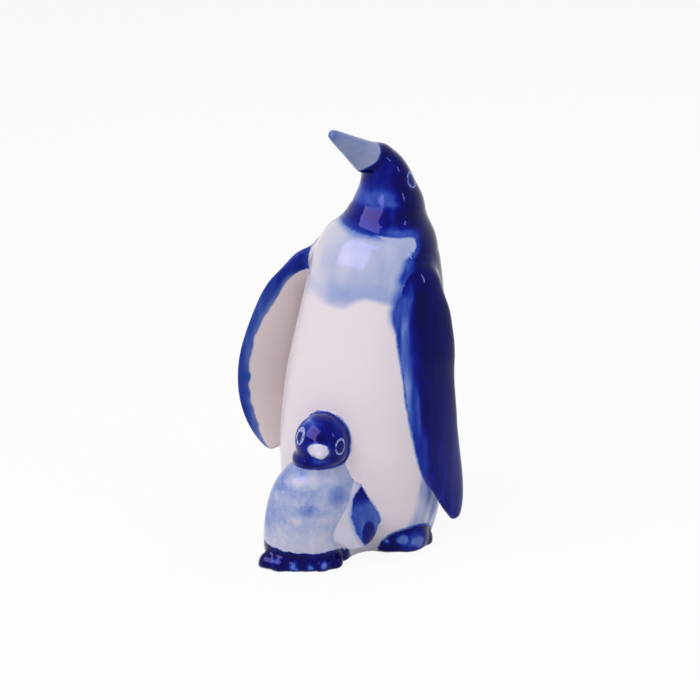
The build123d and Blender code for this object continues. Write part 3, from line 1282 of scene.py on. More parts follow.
# The pieces of each figure, in the order in which they are luted on
ADULT_PARTS = {
    "torso_shell": Part("torso", CobaltGlaze("torso_glaze", feather=0.45, streaks=0.32)),
    "head_shell": Part("head", CobaltGlaze("head_glaze", streaks=0.22, sponge=0.25, eyes=ADULT_EYES)),
    "beak": Part(
        "beak",
        CobaltGlaze("beak_glaze", ground=Ground.BEAK, streaks=0.35, sponge=0.2),
        Joint(1.4, 3.6, 91.5, 5.0),
    ),
    "left_flipper": Part(
        "left_flipper", CobaltGlaze("left_flipper_glaze", streaks=0.42), Joint(0.9, 4.6, 61.0, 10.0)
    ),
    # The far flipper's inner face takes the warm painted shade as its ground
    "right_flipper": Part(
        "right_flipper",
        CobaltGlaze("right_flipper_glaze", ground=Ground.WARM_SHADE, streaks=0.32),
        Joint(1.0, 4.2, 62.0, 10.0),
    ),
    "left_foot": Part(
        "feet", FOOT_GLAZE, Joint(0.8, 0.8), ToeFan((7.6, 0.4), 50.0, 7.2, 7.0, 5.2, 4.4, 31.0)
    ),
    "right_foot": Part(
        "feet", FOOT_GLAZE, Joint(0.8, 0.8), ToeFan((-7.6, 0.4), -50.0, 7.2, 7.0, 5.2, 4.4, 31.0)
    ),
    "tail": Part("tail", CobaltGlaze("tail_glaze"), Joint(3.0, 3.0)),
}
CHICK_PARTS = {
    "chick_body": Part(
        "chick_body",
        CobaltGlaze("chick_body_glaze", streaks=0.0, sponge=1.35, peel=0.8, ridges=1.2),
        Joint(1.4, 3.4, 22.0, 8.0),
    ),
    "chick_head": Part(
        "chick_head",
        CobaltGlaze("chick_head_glaze", streaks=0.0, sponge=0.5, eyes=CHICK_EYES),
        Joint(1.0, 1.0),
    ),
    "chick_beak": Part(
        "chick_beak", CobaltGlaze("chick_beak_glaze", streaks=0.0, sponge=0.4), Joint(0.9, 0.9)
    ),
    "chick_left_flipper": Part("chick_flippers", CHICK_FLIPPER_GLAZE, Joint(1.4, 2.4, 15.0, 6.0)),
    "chick_right_flipper": Part("chick_flippers", CHICK_FLIPPER_GLAZE, Joint(1.4, 2.4, 15.0, 6.0)),
    "chick_left_foot": Part(
        "chick_feet", FOOT_GLAZE, Joint(0.9, 0.9), ToeFan((-4.4, -19.3), 40.0, 6.0, 5.0, 4.2, 3.3, 29.0)
    ),
    "chick_right_foot": Part(
        "chick_feet", FOOT_GLAZE, Joint(0.9, 0.9), ToeFan((-9.8, -21.8), 10.0, 6.0, 5.0, 4.2, 3.3, 29.0)
    ),
}
WEB_PARTS = {"ground_web": Part("web", CobaltGlaze("web_glaze"), Joint(2.6, 2.6))}


@dataclass
class Figure:
    """A sub-assembly of the ornament, which shapes, cuts out and paints its own pieces.

    Attributes:
        casting: The measured pieces and the luted body.
        parts: What each piece is made with, in the order of luting.
        glaze_line: Heights between which the glaze ends above the table.
    """

    casting: Casting
    parts: dict[str, Part] = field(default_factory=dict)
    glaze_line: Span = (0.30, 0.08)

    def measure(self) -> None:
        """Measure the figure's solids."""
        for name, part in self.parts.items():
            self.casting.measure(name, part.toes)

    def lute(self) -> None:
        """Lute the figure's pressed pieces onto the body."""
        for name, part in self.parts.items():
            if part.joint is not None:
                self.casting.lute(name, part.joint)

    def trim(self) -> None:
        """Trim the softened body, where the figure needs it."""

    def near(self, name: str, points: Array) -> Array:
        """Distance from the points to a piece."""
        return self.casting.grid.sample(self.casting.boxes[name], points)

    def brushes(self) -> dict[str, Callable[[Array], Paint]]:
        """What paints each piece."""
        raise NotImplementedError

    def cut(self, name: str, skin: Skin) -> bpy.types.Object:
        """Make one closed and painted piece from its share of the surface.

        Args:
            name: Name of the node it stands for.
            skin: The whole surface.

        Returns:
            The piece's object.
        """
        faces = skin.quads[skin.owner == name]
        used, local = np.unique(faces, return_inverse=True)
        places, rows = self.casting.close_up(skin.points[used], local.reshape(faces.shape))
        mesh = bpy.data.meshes.new(name + "_glazed")
        mesh.from_pydata((places * MM).tolist(), [], rows)
        mesh.update()
        mesh.polygons.foreach_set("use_smooth", np.ones(len(mesh.polygons), bool))
        own = np.zeros((len(mesh.loops), 3), np.float32)
        own[: len(faces) * 4] = skin.normals[faces.ravel()]
        mesh.normals_split_custom_set(own.tolist())
        self.brushes()[name](places).lay(mesh, smoothstep(*self.glaze_line, places[:, 2]))
        piece = bpy.data.objects.new(name + "_glazed", mesh)
        bpy.context.scene.collection.objects.link(piece)
        return piece

    def build(self, skin: Skin, kiln: Kiln) -> None:
        """Cut out, paint and glaze every piece of the figure.

        Args:
            skin: The whole surface.
            kiln: Makes the glazes.
        """
        for name, part in self.parts.items():
            piece = self.cut(name, skin)
            piece.data.materials.append(kiln.material(part.glaze))
            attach(piece, "root")
            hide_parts(name)
            LOG.info("%s: %d faces", name, len(piece.data.polygons))


@dataclass
class Adult(Figure):
    """The adult: hollow torso and head, beak, two flippers, two feet and a tail.

    Heights, distances and places are millimetres, turns are degrees about the axis, and a pair of
    numbers is where a change starts and where it is complete.
    """

    parts: dict[str, Part] = field(default_factory=lambda: dict(ADULT_PARTS))
    axis: Axis = ADULT_AXIS
    # Neck: heights of its softening, its spread in cells, the direction of the throat and its width
    neck_from: Span = (78.5, 81.0)
    neck_to: Span = (92.0, 88.0)
    neck_melt: float = 4.2
    throat_way: Span = (0.906, 0.423)
    throat_width: float = 7.0
    throat_in: float = 0.75
    neck_out: float = 0.3
    # Beak: heights over which its tip is made crisp again, how far under the solid's skin it then lies
    # above them and how much deeper below them, and its fillet
    crisp: Span = (94.5, 91.5)
    crisp_skin: float = 0.12
    crisp_fade: float = 3.0
    crisp_fillet: float = 0.3
    # Crown: the level that flattens it, as a direction and a distance, and its soft edge
    crown_way: Point = (0.617, 0.522, 0.583)
    crown_at: float = 61.0
    crown_fillet: float = 2.0
    # Blind vent in the underside
    vent: Span = (0.0, 6.0)
    vent_radius: float = 1.5
    vent_depth: float = 5.5
    vent_fillet: float = 0.5
    # Edges of the dark back by height, and lower edge of the collar by turn
    left_border: Table = (
        (0.0, 100.0),
        (14.0, 98.0),
        (24.0, 84.0),
        (40.0, 74.0),
        (56.0, 60.0),
        (62.0, 47.0),
        (67.0, 45.5),
        (69.5, 49.0),
        (71.0, 52.0),
        (71.8, 59.0),
        (73.3, 65.0),
        (76.5, 66.0),
    )
    right_border: Table = ((0.0, 112.0), (40.0, 108.0), (60.0, 98.0), (68.0, 84.0), (72.0, 78.0), (77.0, 78.0))
    collar_edge: Table = (
        (-90.0, 77.2),
        (-63.0, 77.1),
        (-31.0, 76.7),
        (-6.0, 76.1),
        (25.0, 75.8),
        (47.0, 75.3),
        (66.0, 75.3),
    )
    # Densities of the cobalt
    back_ink: float = 10.5
    edge_ink: float = 4.6
    throat_ink: float = 3.1
    beak_ink: float = 10.0
    flipper_ink: float = 10.6
    foot_ink: float = 10.8
    toe_thin_and_highlight_ink: float = 2.0
    # Collar and its teal side, shoulder, bib under the collar, and the wash low on the left side
    collar_fade: Span = (84.0, 80.0)
    collar_sides: Span = (75.0, 40.0)
    teal_front: Span = (24.0, 34.0)
    teal_back: Span = (70.0, 58.0)
    shoulder: Span = (54.0, 60.0)
    bib_top: Span = (66.5, 64.5)
    bib_foot: Span = (60.6, 62.6)
    bib_sides: Span = (82.0, 50.0)
    low_wash: Span = (27.0, 17.0)
    bib_turn: float = 4.0
    bib_wash: float = 0.56
    bib_mottle: float = 0.24
    bib_top_wash: float = 0.34
    low_from: Span = (58.0, 0.5)
    low_strength: float = 1.3
    # Blue halo on the torso: its width beside a flipper, what the shoulder adds, what it is narrower by
    # beside the far flipper, its width beside a foot and beside the chick, and the turn where that starts
    flipper_halo: float = 0.55
    shoulder_halo: float = 0.75
    far_halo_less: float = 0.9
    foot_halo: float = 0.6
    chick_halo: float = 0.45
    chick_halo_from: float = 96.0
    # Light throat: heights and sides
    throat_foot: Span = (80.2, 82.0)
    throat_top: Span = (94.0, 89.5)
    throat_left: Span = (56.0, 34.0)
    throat_right: Span = (-120.0, -80.0)
    throat_darkens: Span = (84.2, 87.4)
    chin: Point = (1.2, -1.1, 88.9)
    chin_radius: float = 2.3
    chin_ink: float = 5.0
    head_wash: float = 0.7
    # Line through the beak, and where its wash ends on it
    beak_tip: Point = (-5.0, -7.4, 99.1)
    beak_way: Point = (-0.419, -0.698, 0.581)
    beak_wash_end: float = -12.5
    beak_wash: float = 1.05
    beak_tip_wash: float = 0.6
    # Left flipper: heights where its inner side turns white, where its leading edge turns pale as a painted
    # reflection and where its tip does, and the density of that painted reflection on the leading edge
    inner_white: Span = (60.0, 52.0)
    lead_reflection_heights: Span = (69.0, 62.0)
    tip_pale: Span = (40.0, 10.0)
    lead_reflection_ink: float = 2.9
    near_wash: float = 0.15
    # Right flipper: width of the blue rim, and what its shoulder and its top add and its tip lacks
    rim: float = 2.7
    rim_shoulder: float = 2.0
    rim_top: float = 9.0
    rim_tip_less: float = 0.9
    rim_ink: float = 4.0
    outer_ink: float = 5.0
    far_wash: float = 0.12
    # Thin places with painted highlights on a left foot: centre and radius
    foot_thin_and_highlight_spots: Table = (
        (16.6, -6.8, 3.2, 4.2),
        (14.6, -8.4, 3.0, 3.2),
        (10.6, -9.9, 2.8, 1.8),
        (13.0, -9.6, 5.6, 1.4),
    )

    def lute(self) -> None:
        """Start the body from the two shells, soften its neck, and lute the pressed pieces on."""
        self.casting.fill([name for name, part in self.parts.items() if part.joint is None])
        x, y, height = self.casting.grid.places(self.casting.boxes["head_shell"])
        share = smoothstep(*self.neck_from, height) * smoothstep(*self.neck_to, height)
        throat = smoothstep(self.throat_width, 0.0, self.throat_way[0] * x + self.throat_way[1] * y)
        shift = (self.throat_in * throat - self.neck_out).astype(np.float32)
        neck = self.casting.part_of("head_shell")
        neck += (soften(neck, self.neck_melt) + shift - neck) * share.astype(np.float32)
        super().lute()

    def trim(self) -> None:
        """Crisp the beak's tip, flatten the crown, level the underside and bore the vent."""
        casting = self.casting
        beak, tip = casting.boxes["beak"], casting.part_of("beak")
        under = self.crisp_skin + self.crisp_fade * smoothstep(*self.crisp, casting.grid.places(beak)[2])
        tip[...] = smooth_min(tip, (beak.values + under).astype(np.float32), self.crisp_fillet)
        x, y, z = casting.grid.places(casting.body)
        way = self.crown_way
        crown = way[0] * x + way[1] * y + way[2] * z - self.crown_at
        casting.carve(-crown.astype(np.float32), self.crown_fillet)
        casting.body.values = np.maximum(casting.body.values, -z)
        across = np.sqrt((x - self.vent[0]) ** 2 + (y - self.vent[1]) ** 2) - self.vent_radius
        casting.carve(np.maximum(across, z - self.vent_depth), self.vent_fillet)

    def brushes(self) -> dict[str, Callable[[Array], Paint]]:
        """Say what paints each piece.

        Returns:
            The painting method of each piece.
        """
        return {
            "torso_shell": self.torso,
            "head_shell": self.head,
            "beak": self.beak,
            "left_flipper": self.left_flipper,
            "right_flipper": self.right_flipper,
            "left_foot": self.foot,
            "right_foot": self.foot,
            "tail": lambda points: Paint.plain(points, self.back_ink),
        }

    def body_edge(self, points: Array) -> Array:
        """Distance to the edge between the dark back and collar and the white front.

        Args:
            points: Points to paint.

        Returns:
            The distances, above zero in the dark.
        """
        turn, radius = self.axis.polar(points)
        height = points[:, 2]
        back = np.maximum(turn - follow(height, self.left_border), -turn - follow(height, self.right_border))
        collar = (height - follow(turn, self.collar_edge)) * 1.3
        return -smooth_min(-arc(back, radius), -collar, 1.6)

    def body_ink(self, points: Array, edge: Array) -> Array:
        """Density of the back and the collar, lighter along their edge and streaked down the back.

        Args:
            points: Points to paint.
            edge: Distances to the edge.

        Returns:
            The densities.
        """
        turn, _ = self.axis.polar(points)
        hairs = value_noise(points, (1.3, 1.3, 10.0), 21) + 0.6 * value_noise(points, (0.8, 0.8, 5.0), 22)
        collar = smoothstep(*self.collar_fade, points[:, 2]) * smoothstep(*self.collar_sides, np.abs(turn + 8.0))
        teal = smoothstep(*self.teal_front, turn) * smoothstep(*self.teal_back, turn)
        deep = self.back_ink - 3.4 * collar
        thin = self.edge_ink - 1.4 * teal + 1.2 * value_noise(points, (2.2, 2.2, 2.2), 3)
        ragged = edge + 0.3 * value_noise(points, (1.4, 1.4, 1.4), 4)
        share = smoothstep(0.3, 1.0, ragged / (2.4 + 1.4 * teal))
        return thin + (deep + 1.7 * hairs - thin) * share

    def torso(self, points: Array) -> Paint:
        """Dark back, pale bib under the collar and the streaky wash low on the left side.

        Args:
            points: Points to paint.

        Returns:
            The paint.
        """
        turn, radius = self.axis.polar(points)
        height = points[:, 2]
        far = self.near("right_flipper", points) + self.far_halo_less
        halo = np.minimum(self.near("left_flipper", points), far)
        high = smoothstep(*self.shoulder, height)
        edge = self.body_edge(points) + 0.35 * value_noise(points, (2.4, 2.4, 2.4), 6)
        edge = np.maximum(edge, self.flipper_halo + self.shoulder_halo * high - halo)
        feet = np.minimum(self.near("left_foot", points), self.near("right_foot", points))
        edge = np.maximum(edge, self.foot_halo - feet)
        aside, _ = CHICK_AXIS.polar(points)
        wing = self.chick_halo - self.near("chick_left_flipper", points)
        wing = np.minimum(wing, (aside - self.chick_halo_from) * 0.12)
        edge = np.maximum(edge, np.maximum(wing, self.chick_halo - self.near("chick_head", points)))
        ragged = height + 1.6 * value_noise(points, (6.0, 6.0, 4.0), 5)
        bib = self.bib_wash + self.bib_mottle * value_noise(points, (3.0, 3.0, 7.0), 7)
        patches = smoothstep(-0.3, 0.6, value_noise(points, (7.0, 7.0, 3.0), 9))
        bib += self.bib_top_wash * smoothstep(*self.bib_top, ragged) * patches
        bib *= 0.35 + 0.75 * smoothstep(-58.0, 4.0, turn)
        bib *= smoothstep(*self.bib_foot, ragged) * smoothstep(*self.bib_sides, np.abs(turn - self.bib_turn))
        start = self.low_from[0] + self.low_from[1] * height
        start = start + 3.0 * value_noise(points, (1.5, 1.5, 9.0), 10)
        low = smoothstep(-3.0, 5.0, turn - start) * smoothstep(*self.low_wash, height)
        low *= 0.7 + 0.9 * value_noise(points, (1.6, 1.6, 12.0), 8)
        wash = bib + self.low_strength * low + 1.3 * smoothstep(-1.6, 0.2, edge) * high
        stroke = np.stack([arc(turn, radius), height, radius], 1)
        return Paint(self.body_ink(points, edge), wash, edge, stroke)

    def head(self, points: Array) -> Paint:
        """Dark hood with a lighter mottled throat and a dark spot under the beak.

        Args:
            points: Points to paint.

        Returns:
            The paint.
        """
        turn, radius = self.axis.polar(points)
        height = points[:, 2]
        mottle = value_noise(points, (1.7, 1.7, 1.7), 11)
        throat = smoothstep(*self.throat_foot, height + 0.5 * mottle) * smoothstep(*self.throat_top, height)
        throat *= smoothstep(*self.throat_left, turn + 4.0 * mottle) * smoothstep(*self.throat_right, turn)
        pale = self.throat_ink + 0.9 * mottle + 3.2 * smoothstep(*self.throat_darkens, height + 0.8 * mottle)
        edge = self.body_edge(points)
        ink = self.body_ink(points, edge)
        ink = ink + (pale - ink) * throat
        ink += self.chin_ink * bump_at(points, self.chin, self.chin_radius)
        stroke = np.stack([arc(turn, radius), height, points[:, 1]], 1)
        return Paint(ink, even(points, self.head_wash), edge, stroke)

    def beak(self, points: Array) -> Paint:
        """Thin even wash, a little deeper at the tip, that stops short of the dark head.

        Args:
            points: Points to paint.

        Returns:
            The paint.
        """
        along = (points - np.array(self.beak_tip)) @ np.array(self.beak_way)
        edge = self.beak_wash_end + 0.9 * smoothstep(92.0, 90.0, points[:, 2]) - along
        wash = self.beak_wash + self.beak_tip_wash * smoothstep(-9.5, -12.0, edge)
        wash += 0.25 * value_noise(points, (2.0, 2.0, 2.0), 13)
        wash -= 0.25 * smoothstep(-2.0, -0.2, edge)
        ink = self.beak_ink - 4.0 * smoothstep(1.2, 0.0, edge)
        stroke = np.stack([points[:, 0] * 0.86 - points[:, 1] * 0.5, edge, points[:, 2]], 1)
        return Paint(ink, wash, edge + 0.2 * value_noise(points, (1.0, 1.0, 1.0), 12), stroke)

    def blade(self, name: str, points: Array) -> tuple[Array, Array, Array]:
        """Place of points across a flipper, from its measured level sections.

        Args:
            name: Piece whose sections are measured.
            points: Points on it.

        Returns:
            Share of the half chord from -1 (front) to 1 (back), distance outwards from the chord, and
            half chord.
        """
        corners, _ = corners_of(self.casting.nodes[name].data)
        low, high = corners[:, 2].min(), corners[:, 2].max()
        levels = np.linspace(low + 1.0, high - 1.0, 24)
        rows = []
        for level in levels:
            ring = corners[np.abs(corners[:, 2] - level) < 1.6][:, :2]
            middle = (ring.min(0) + ring.max(0)) / 2
            _, axes = np.linalg.eigh(np.cov((ring - middle).T))
            chord = axes[:, 1] * np.sign(axes[1, 1])
            reach = (ring - middle) @ chord
            rows.append([*(middle + chord * (reach.max() + reach.min()) / 2), *chord, np.ptp(reach) / 2])
        table = np.array(rows)
        for _ in range(4):
            table[1:-1] = (table[:-2] + 2.0 * table[1:-1] + table[2:]) / 4.0
        centre, chord, half = (
            np.stack([np.interp(points[:, 2], levels, table[:, c]) for c in columns], 1)
            for columns in ((0, 1), (2, 3), (4,))
        )
        away = points[:, :2] - centre
        share = (away * chord).sum(1) / half[:, 0]
        side = away[:, 0] * chord[:, 1] - away[:, 1] * chord[:, 0]
        return share, side, half[:, 0]

    def left_flipper(self, points: Array) -> Paint:
        """Dark outer face, paler along its leading edge as a painted reflection and towards its tip, white inside.

        Args:
            points: Points to paint.

        Returns:
            The paint.
        """
        share, side, half = self.blade("left_flipper", points)
        height = points[:, 2]
        inner = smoothstep(0.1, -0.8, side) * smoothstep(-0.80, -0.60, share)
        inner *= smoothstep(*self.inner_white, height)
        # Painted reflection: the leading edge is painted paler where the glaze would mirror a lamp
        lead_reflection = smoothstep(-0.50, -0.85, share + 0.12 * value_noise(points, (3.0, 3.0, 5.0), 15))
        low = smoothstep(*self.tip_pale, height)
        ink = self.flipper_ink - 4.6 * low
        ink += (self.lead_reflection_ink + 4.0 * low - ink) * lead_reflection * smoothstep(*self.lead_reflection_heights, height)
        ink += 2.0 * value_noise(points, (1.5, 1.5, 13.0), 17) + 1.2 * value_noise(points, (0.8, 0.8, 7.0), 18)
        stroke = np.stack([share * half, height, side], 1)
        return Paint(ink, even(points, self.near_wash), 2.4 - 4.4 * inner, stroke)

    def right_flipper(self, points: Array) -> Paint:
        """White inner face with a blue rim on a ground warmed as painted shade, and a dark outer face.

        Args:
            points: Points to paint.

        Returns:
            The paint.
        """
        share, side, half = self.blade("right_flipper", points)
        height = points[:, 2]
        rim = self.rim + self.rim_shoulder * smoothstep(46.0, 58.0, height)
        rim += self.rim_top * smoothstep(61.0, 67.0, height)
        rim -= self.rim_tip_less * smoothstep(26.0, 17.0, height)
        rim += 0.3 * value_noise(points, (2.0, 2.0, 2.0), 19)
        edge = np.maximum(rim - (share + 1.0) * half, (-side - 0.3) * 2.5)
        ink = self.rim_ink + self.outer_ink * smoothstep(0.1, 1.4, -side)
        ink += 0.8 * smoothstep(56.0, 66.0, height)
        ink += 1.0 * value_noise(points, (1.5, 1.5, 9.0), 20)
        ink -= 1.8 * smoothstep(2.2, 0.2, edge) * smoothstep(0.5, -0.3, -side)
        stroke = np.stack([share * half, height, side], 1)
        return Paint(ink, even(points, self.far_wash), edge, stroke)

    def foot(self, points: Array) -> Paint:
        """Dark foot, thin and painted with highlights over the outer toe and at its inner end.

        Args:
            points: Points to paint, on either foot.

        Returns:
            The paint.
        """
        # Pale spots: thin glaze with painted highlights
        as_left = points * (np.sign(points[:, :1].mean()), 1.0, 1.0)
        paint = thin_and_highlit_places(as_left, self.foot_ink, self.toe_thin_and_highlight_ink, self.foot_thin_and_highlight_spots)
        paint.stroke = points.copy()
        return paint


@dataclass
class Chick(Figure):
    """The chick: body, hooded head, beak, two flippers and two feet.

    Heights, distances and places are millimetres, turns are degrees about the chick's axis, and a
    pair of numbers is where a change starts and where it is complete.
    """

    parts: dict[str, Part] = field(default_factory=lambda: dict(CHICK_PARTS))
    axis: Axis = CHICK_AXIS
    # Soft roll that the hood ends in: centre, radii of the ring and of the roll, lean along x and y
    hood_rim: Point = (-1.7, -20.9, 27.0)
    hood_radius: float = 5.3
    roll_radius: float = 0.9
    hood_lean: Span = (0.10, 0.08)
    roll_fillet: float = 1.6
    # Upper edge of the dark band around the base, and front edge of the blue on the left flipper
    band_top: Table = (
        (-180.0, 4.8),
        (-90.0, 5.2),
        (-34.0, 5.0),
        (26.0, 4.5),
        (79.0, 4.3),
        (92.0, 3.6),
        (110.0, -1.0),
    )
    flipper_blue: Table = ((4.0, 100.0), (5.3, 94.0), (8.5, 87.0), (13.0, 84.0), (17.2, 89.0), (19.8, 102.0))
    # Densities of the cobalt
    foot_ink: float = 10.8
    toe_thin_and_highlight_ink: float = 1.9
    foot_wash: float = 0.45
    band_ink: float = 10.6
    hood_ink: float = 6.9
    beak_line_ink: float = 7.0
    blade_ink: float = 2.6
    # Patches of the body's wash: centre, radius and how much darker
    body_patches: Table = (
        (-1.0, -28.3, 16.6, 3.2, 0.7),
        (4.6, -23.6, 18.6, 3.8, 1.0),
        (-0.5, -26.0, 22.5, 3.0, -0.25),
    )
    # Light places on the hood, and the dark one over the beak: centre, radius and how much darker
    brow: tuple[float, ...] = (-3.6, -23.0, 35.4, 4.2, -5.2)
    under_beak: tuple[float, ...] = (1.3, -25.4, 27.6, 3.6, -4.4)
    over_beak: tuple[float, ...] = (0.0, -25.2, 33.0, 3.4, 2.2)
    under_beak_squash: float = 2.6
    # Thin places with painted highlights on the toes: centre and radius
    toe_thin_and_highlight_spots: Table = (
        (-9.0, -29.4, 2.0, 1.9),
        (-4.4, -28.8, 1.8, 2.0),
        (-0.9, -27.4, 1.6, 2.0),
        (2.2, -25.6, 1.5, 1.9),
    )
    # Lower edges of the hood's paint on the body and on the head
    hood_foot: float = 25.4
    head_foot: float = 25.3
    # White around the beak, and the dark oval on the flipper: centre and half sizes
    face: tuple[Point, Point] = ((1.0, -27.2, 30.4), (2.9, 2.9, 1.9))
    oval: tuple[Point, Point] = ((9.5, -17.7, 8.0), (1.9, 1.9, 2.9))

    def lute(self) -> None:
        """Roll the hood's rim onto the head, then lute the pieces on."""
        box = self.casting.boxes["chick_head"]
        x, y, z = self.casting.grid.places(box)
        x, y = x - self.hood_rim[0], y - self.hood_rim[1]
        around = np.sqrt(x**2 + y**2) - self.hood_radius
        level = z - self.hood_rim[2] - self.hood_lean[0] * x - self.hood_lean[1] * y
        roll = np.sqrt(around**2 + level**2) - self.roll_radius
        box.values = smooth_min(box.values, roll.astype(np.float32), self.roll_fillet)
        super().lute()

    def brushes(self) -> dict[str, Callable[[Array], Paint]]:
        """Say what paints each piece.

        Returns:
            The painting method of each piece.
        """
        return {
            "chick_body": self.body,
            "chick_head": self.head,
            "chick_beak": self.beak,
            "chick_left_flipper": self.flipper,
            "chick_right_flipper": self.flipper,
            "chick_left_foot": self.foot,
            "chick_right_foot": self.foot,
        }

    def band_edge(self, points: Array) -> Array:
        """Distance under the upper edge of the dark band around the base.

        Args:
            points: Points to paint.

        Returns:
            The distances, above zero in the band.
        """
        turn, _ = self.axis.polar(points)
        below = (follow(turn, self.band_top) - points[:, 2]) * 1.1
        return below + 0.2 * value_noise(points, (1.8, 1.8, 1.8), 29)

    def foot(self, points: Array) -> Paint:
        """Dark foot with a pale blue spot on each toe, thin glaze with a painted highlight.

        Args:
            points: Points to paint.

        Returns:
            The paint.
        """
        # Pale spots on the toes: thin glaze with painted highlights
        paint = thin_and_highlit_places(points, self.foot_ink, self.toe_thin_and_highlight_ink, self.toe_thin_and_highlight_spots)
        paint.edge = self.band_edge(points)
        paint.wash = even(points, self.foot_wash)
        return paint

    def body(self, points: Array) -> Paint:
        """Sponged pale wash, with the hood's edge above, painted shade beside the flipper and the dark base band
        below.

        Args:
            points: Points to paint.

        Returns:
            The paint.
        """
        turn, _ = self.axis.polar(points)
        height = points[:, 2]
        flipper = self.near("chick_left_flipper", points)
        hood = np.minimum(0.75 - self.near("chick_head", points), height - self.hood_foot)
        edge = np.maximum(hood, self.band_edge(points))
        front = smoothstep(-115.0, -80.0, turn) * smoothstep(125.0, 95.0, turn)
        lump = 0.5 + 0.5 * value_noise(points, (3.4, 3.4, 2.2), 31)
        wash = 0.34 + 0.72 * lump * smoothstep(4.0, 14.0, height)
        wash += 0.6 * smoothstep(-15.0, -48.0, turn) * smoothstep(8.0, 12.0, height)
        # Painted shade: the wash is darker beside the flipper, low down where it meets the body
        wash += 0.45 * smoothstep(1.6, 0.2, flipper) * smoothstep(20.0, 16.0, height)
        for *centre, radius, darker in self.body_patches:
            wash += darker * bump_at(points, centre, radius)
        wash = np.maximum(wash * (0.3 + 0.7 * front), 0.12)
        wash = wash + (0.2 - wash) * smoothstep(1.0, 0.4, flipper)
        ink = self.band_ink - 4.0 * smoothstep(15.0, 20.0, height)
        return Paint(ink, wash, edge, points.copy())

    def head(self, points: Array) -> Paint:
        """Dark cobalt hood, lighter on the brow and under the beak.

        Args:
            points: Points to paint.

        Returns:
            The paint.
        """
        ink = self.hood_ink + 1.9 * value_noise(points, (1.6, 1.6, 1.6), 37)
        for *centre, radius, darker in (self.brow, self.over_beak):
            ink += darker * bump_at(points, centre, radius)
        *centre, radius, darker = self.under_beak
        squash = np.array((1.0, 1.0, self.under_beak_squash))
        ink += darker * bump_at(points * squash, centre * squash, radius)
        ink += 1.4 * smoothstep(27.6, 26.6, points[:, 2])
        edge = np.minimum(self.face_edge(points), points[:, 2] - self.head_foot)
        return Paint(ink, even(points, 0.3), edge, points.copy())

    def face_edge(self, points: Array) -> Array:
        """Distance to the edge of the white around the beak.

        Args:
            points: Points to paint.

        Returns:
            The distances, above zero in the dark.
        """
        centre, half = (np.array(v) for v in self.face)
        away = np.linalg.norm((points - centre) / half, axis=1)
        return (away - 1.0) * 2.2 + 0.15 * value_noise(points, (0.9, 0.9, 0.9), 47)

    def beak(self, points: Array) -> Paint:
        """White beak with a dark line where it meets the face."""
        wash = 0.2 + 0.9 * smoothstep(29.6, 28.6, points[:, 2])
        return Paint(even(points, self.beak_line_ink), wash, self.face_edge(points), points.copy())

    def flipper(self, points: Array) -> Paint:
        """Blue outer blade with a soft white front rim.

        Args:
            points: Points to paint, on either flipper.

        Returns:
            The paint.
        """
        turn, radius = self.axis.polar(points)
        height = points[:, 2]
        edge = np.where(turn > 0, arc(turn - follow(height, self.flipper_blue), radius), 1.5)
        edge = np.minimum(edge, (height - 4.4) * 0.8)
        edge += 0.12 * value_noise(points, (1.0, 1.0, 1.0), 43)
        centre, half = (np.array(v) for v in self.oval)
        oval = np.linalg.norm((points - centre) / half, axis=1)
        ink = self.blade_ink + 5.2 * smoothstep(14.5, 18.0, height) + 5.0 * smoothstep(1.1, 0.8, oval)
        ink += 0.8 * smoothstep(0.8, 0.1, edge) + 0.5 * value_noise(points, (1.0, 1.0, 5.0), 41)
        wash = 0.22 + 0.5 * smoothstep(-1.2, 0.0, edge)
        return Paint(ink, wash, edge, points.copy())


@dataclass
class Web(Figure):
    """The low white web that joins the chick to the adult."""

    parts: dict[str, Part] = field(default_factory=lambda: dict(WEB_PARTS))
    ink: float = 9.0
    wash: float = 0.15
    # Distances from the chick's foot, from the table and from the adult's foot within which it is dark
    chick_foot: float = 2.6
    band: float = 3.4
    adult_foot: float = 0.6

    def brushes(self) -> dict[str, Callable[[Array], Paint]]:
        """What paints each piece."""
        return {"ground_web": self.web}

    def web(self, points: Array) -> Paint:
        """White web, dark beside the feet where the base band runs out on it.

        Args:
            points: Points to paint.

        Returns:
            The paint.
        """
        edge = np.minimum(self.chick_foot - self.near("chick_left_foot", points), self.band - points[:, 2])
        edge = np.maximum(edge, self.adult_foot - self.near("left_foot", points))
        edge = edge + 0.2 * value_noise(points, (1.2, 1.2, 1.2), 49)
        return Paint(even(points, self.ink), even(points, self.wash), edge, points.copy())


# ---------------------------------------------------------------- studio


@dataclass(frozen=True)
class SoftBox:
    """A rectangular lamp.

    Attributes:
        name: Name of the lamp.
        place: Centre in millimetres.
        aim: Point that it faces, in millimetres.
        size: Width and height in millimetres.
        power: Watts.
        tint: Colour of its light.
        fills: Whether it lights the surfaces.
        shines: Whether the glaze mirrors it.
    """

    name: str
    place: Point
    aim: Point
    size: Span
    power: float
    tint: Point = (1.0, 1.0, 1.0)
    fills: bool = True
    shines: bool = True

    def build(self) -> None:
        """Add the lamp to the scene."""
        data = bpy.data.lights.new(self.name, "AREA")
        data.shape = "RECTANGLE"
        data.size, data.size_y = (v * MM for v in self.size)
        data.energy = self.power
        data.color = self.tint
        lamp = bpy.data.objects.new(self.name, data)
        place = Vector(self.place) * MM
        facing = (Vector(self.aim) * MM - place).to_track_quat("-Z", "Y")
        lamp.matrix_world = Matrix.Translation(place) @ facing.to_matrix().to_4x4()
        lamp.visible_diffuse = self.fills
        lamp.visible_glossy = self.shines
        bpy.context.scene.collection.objects.link(lamp)


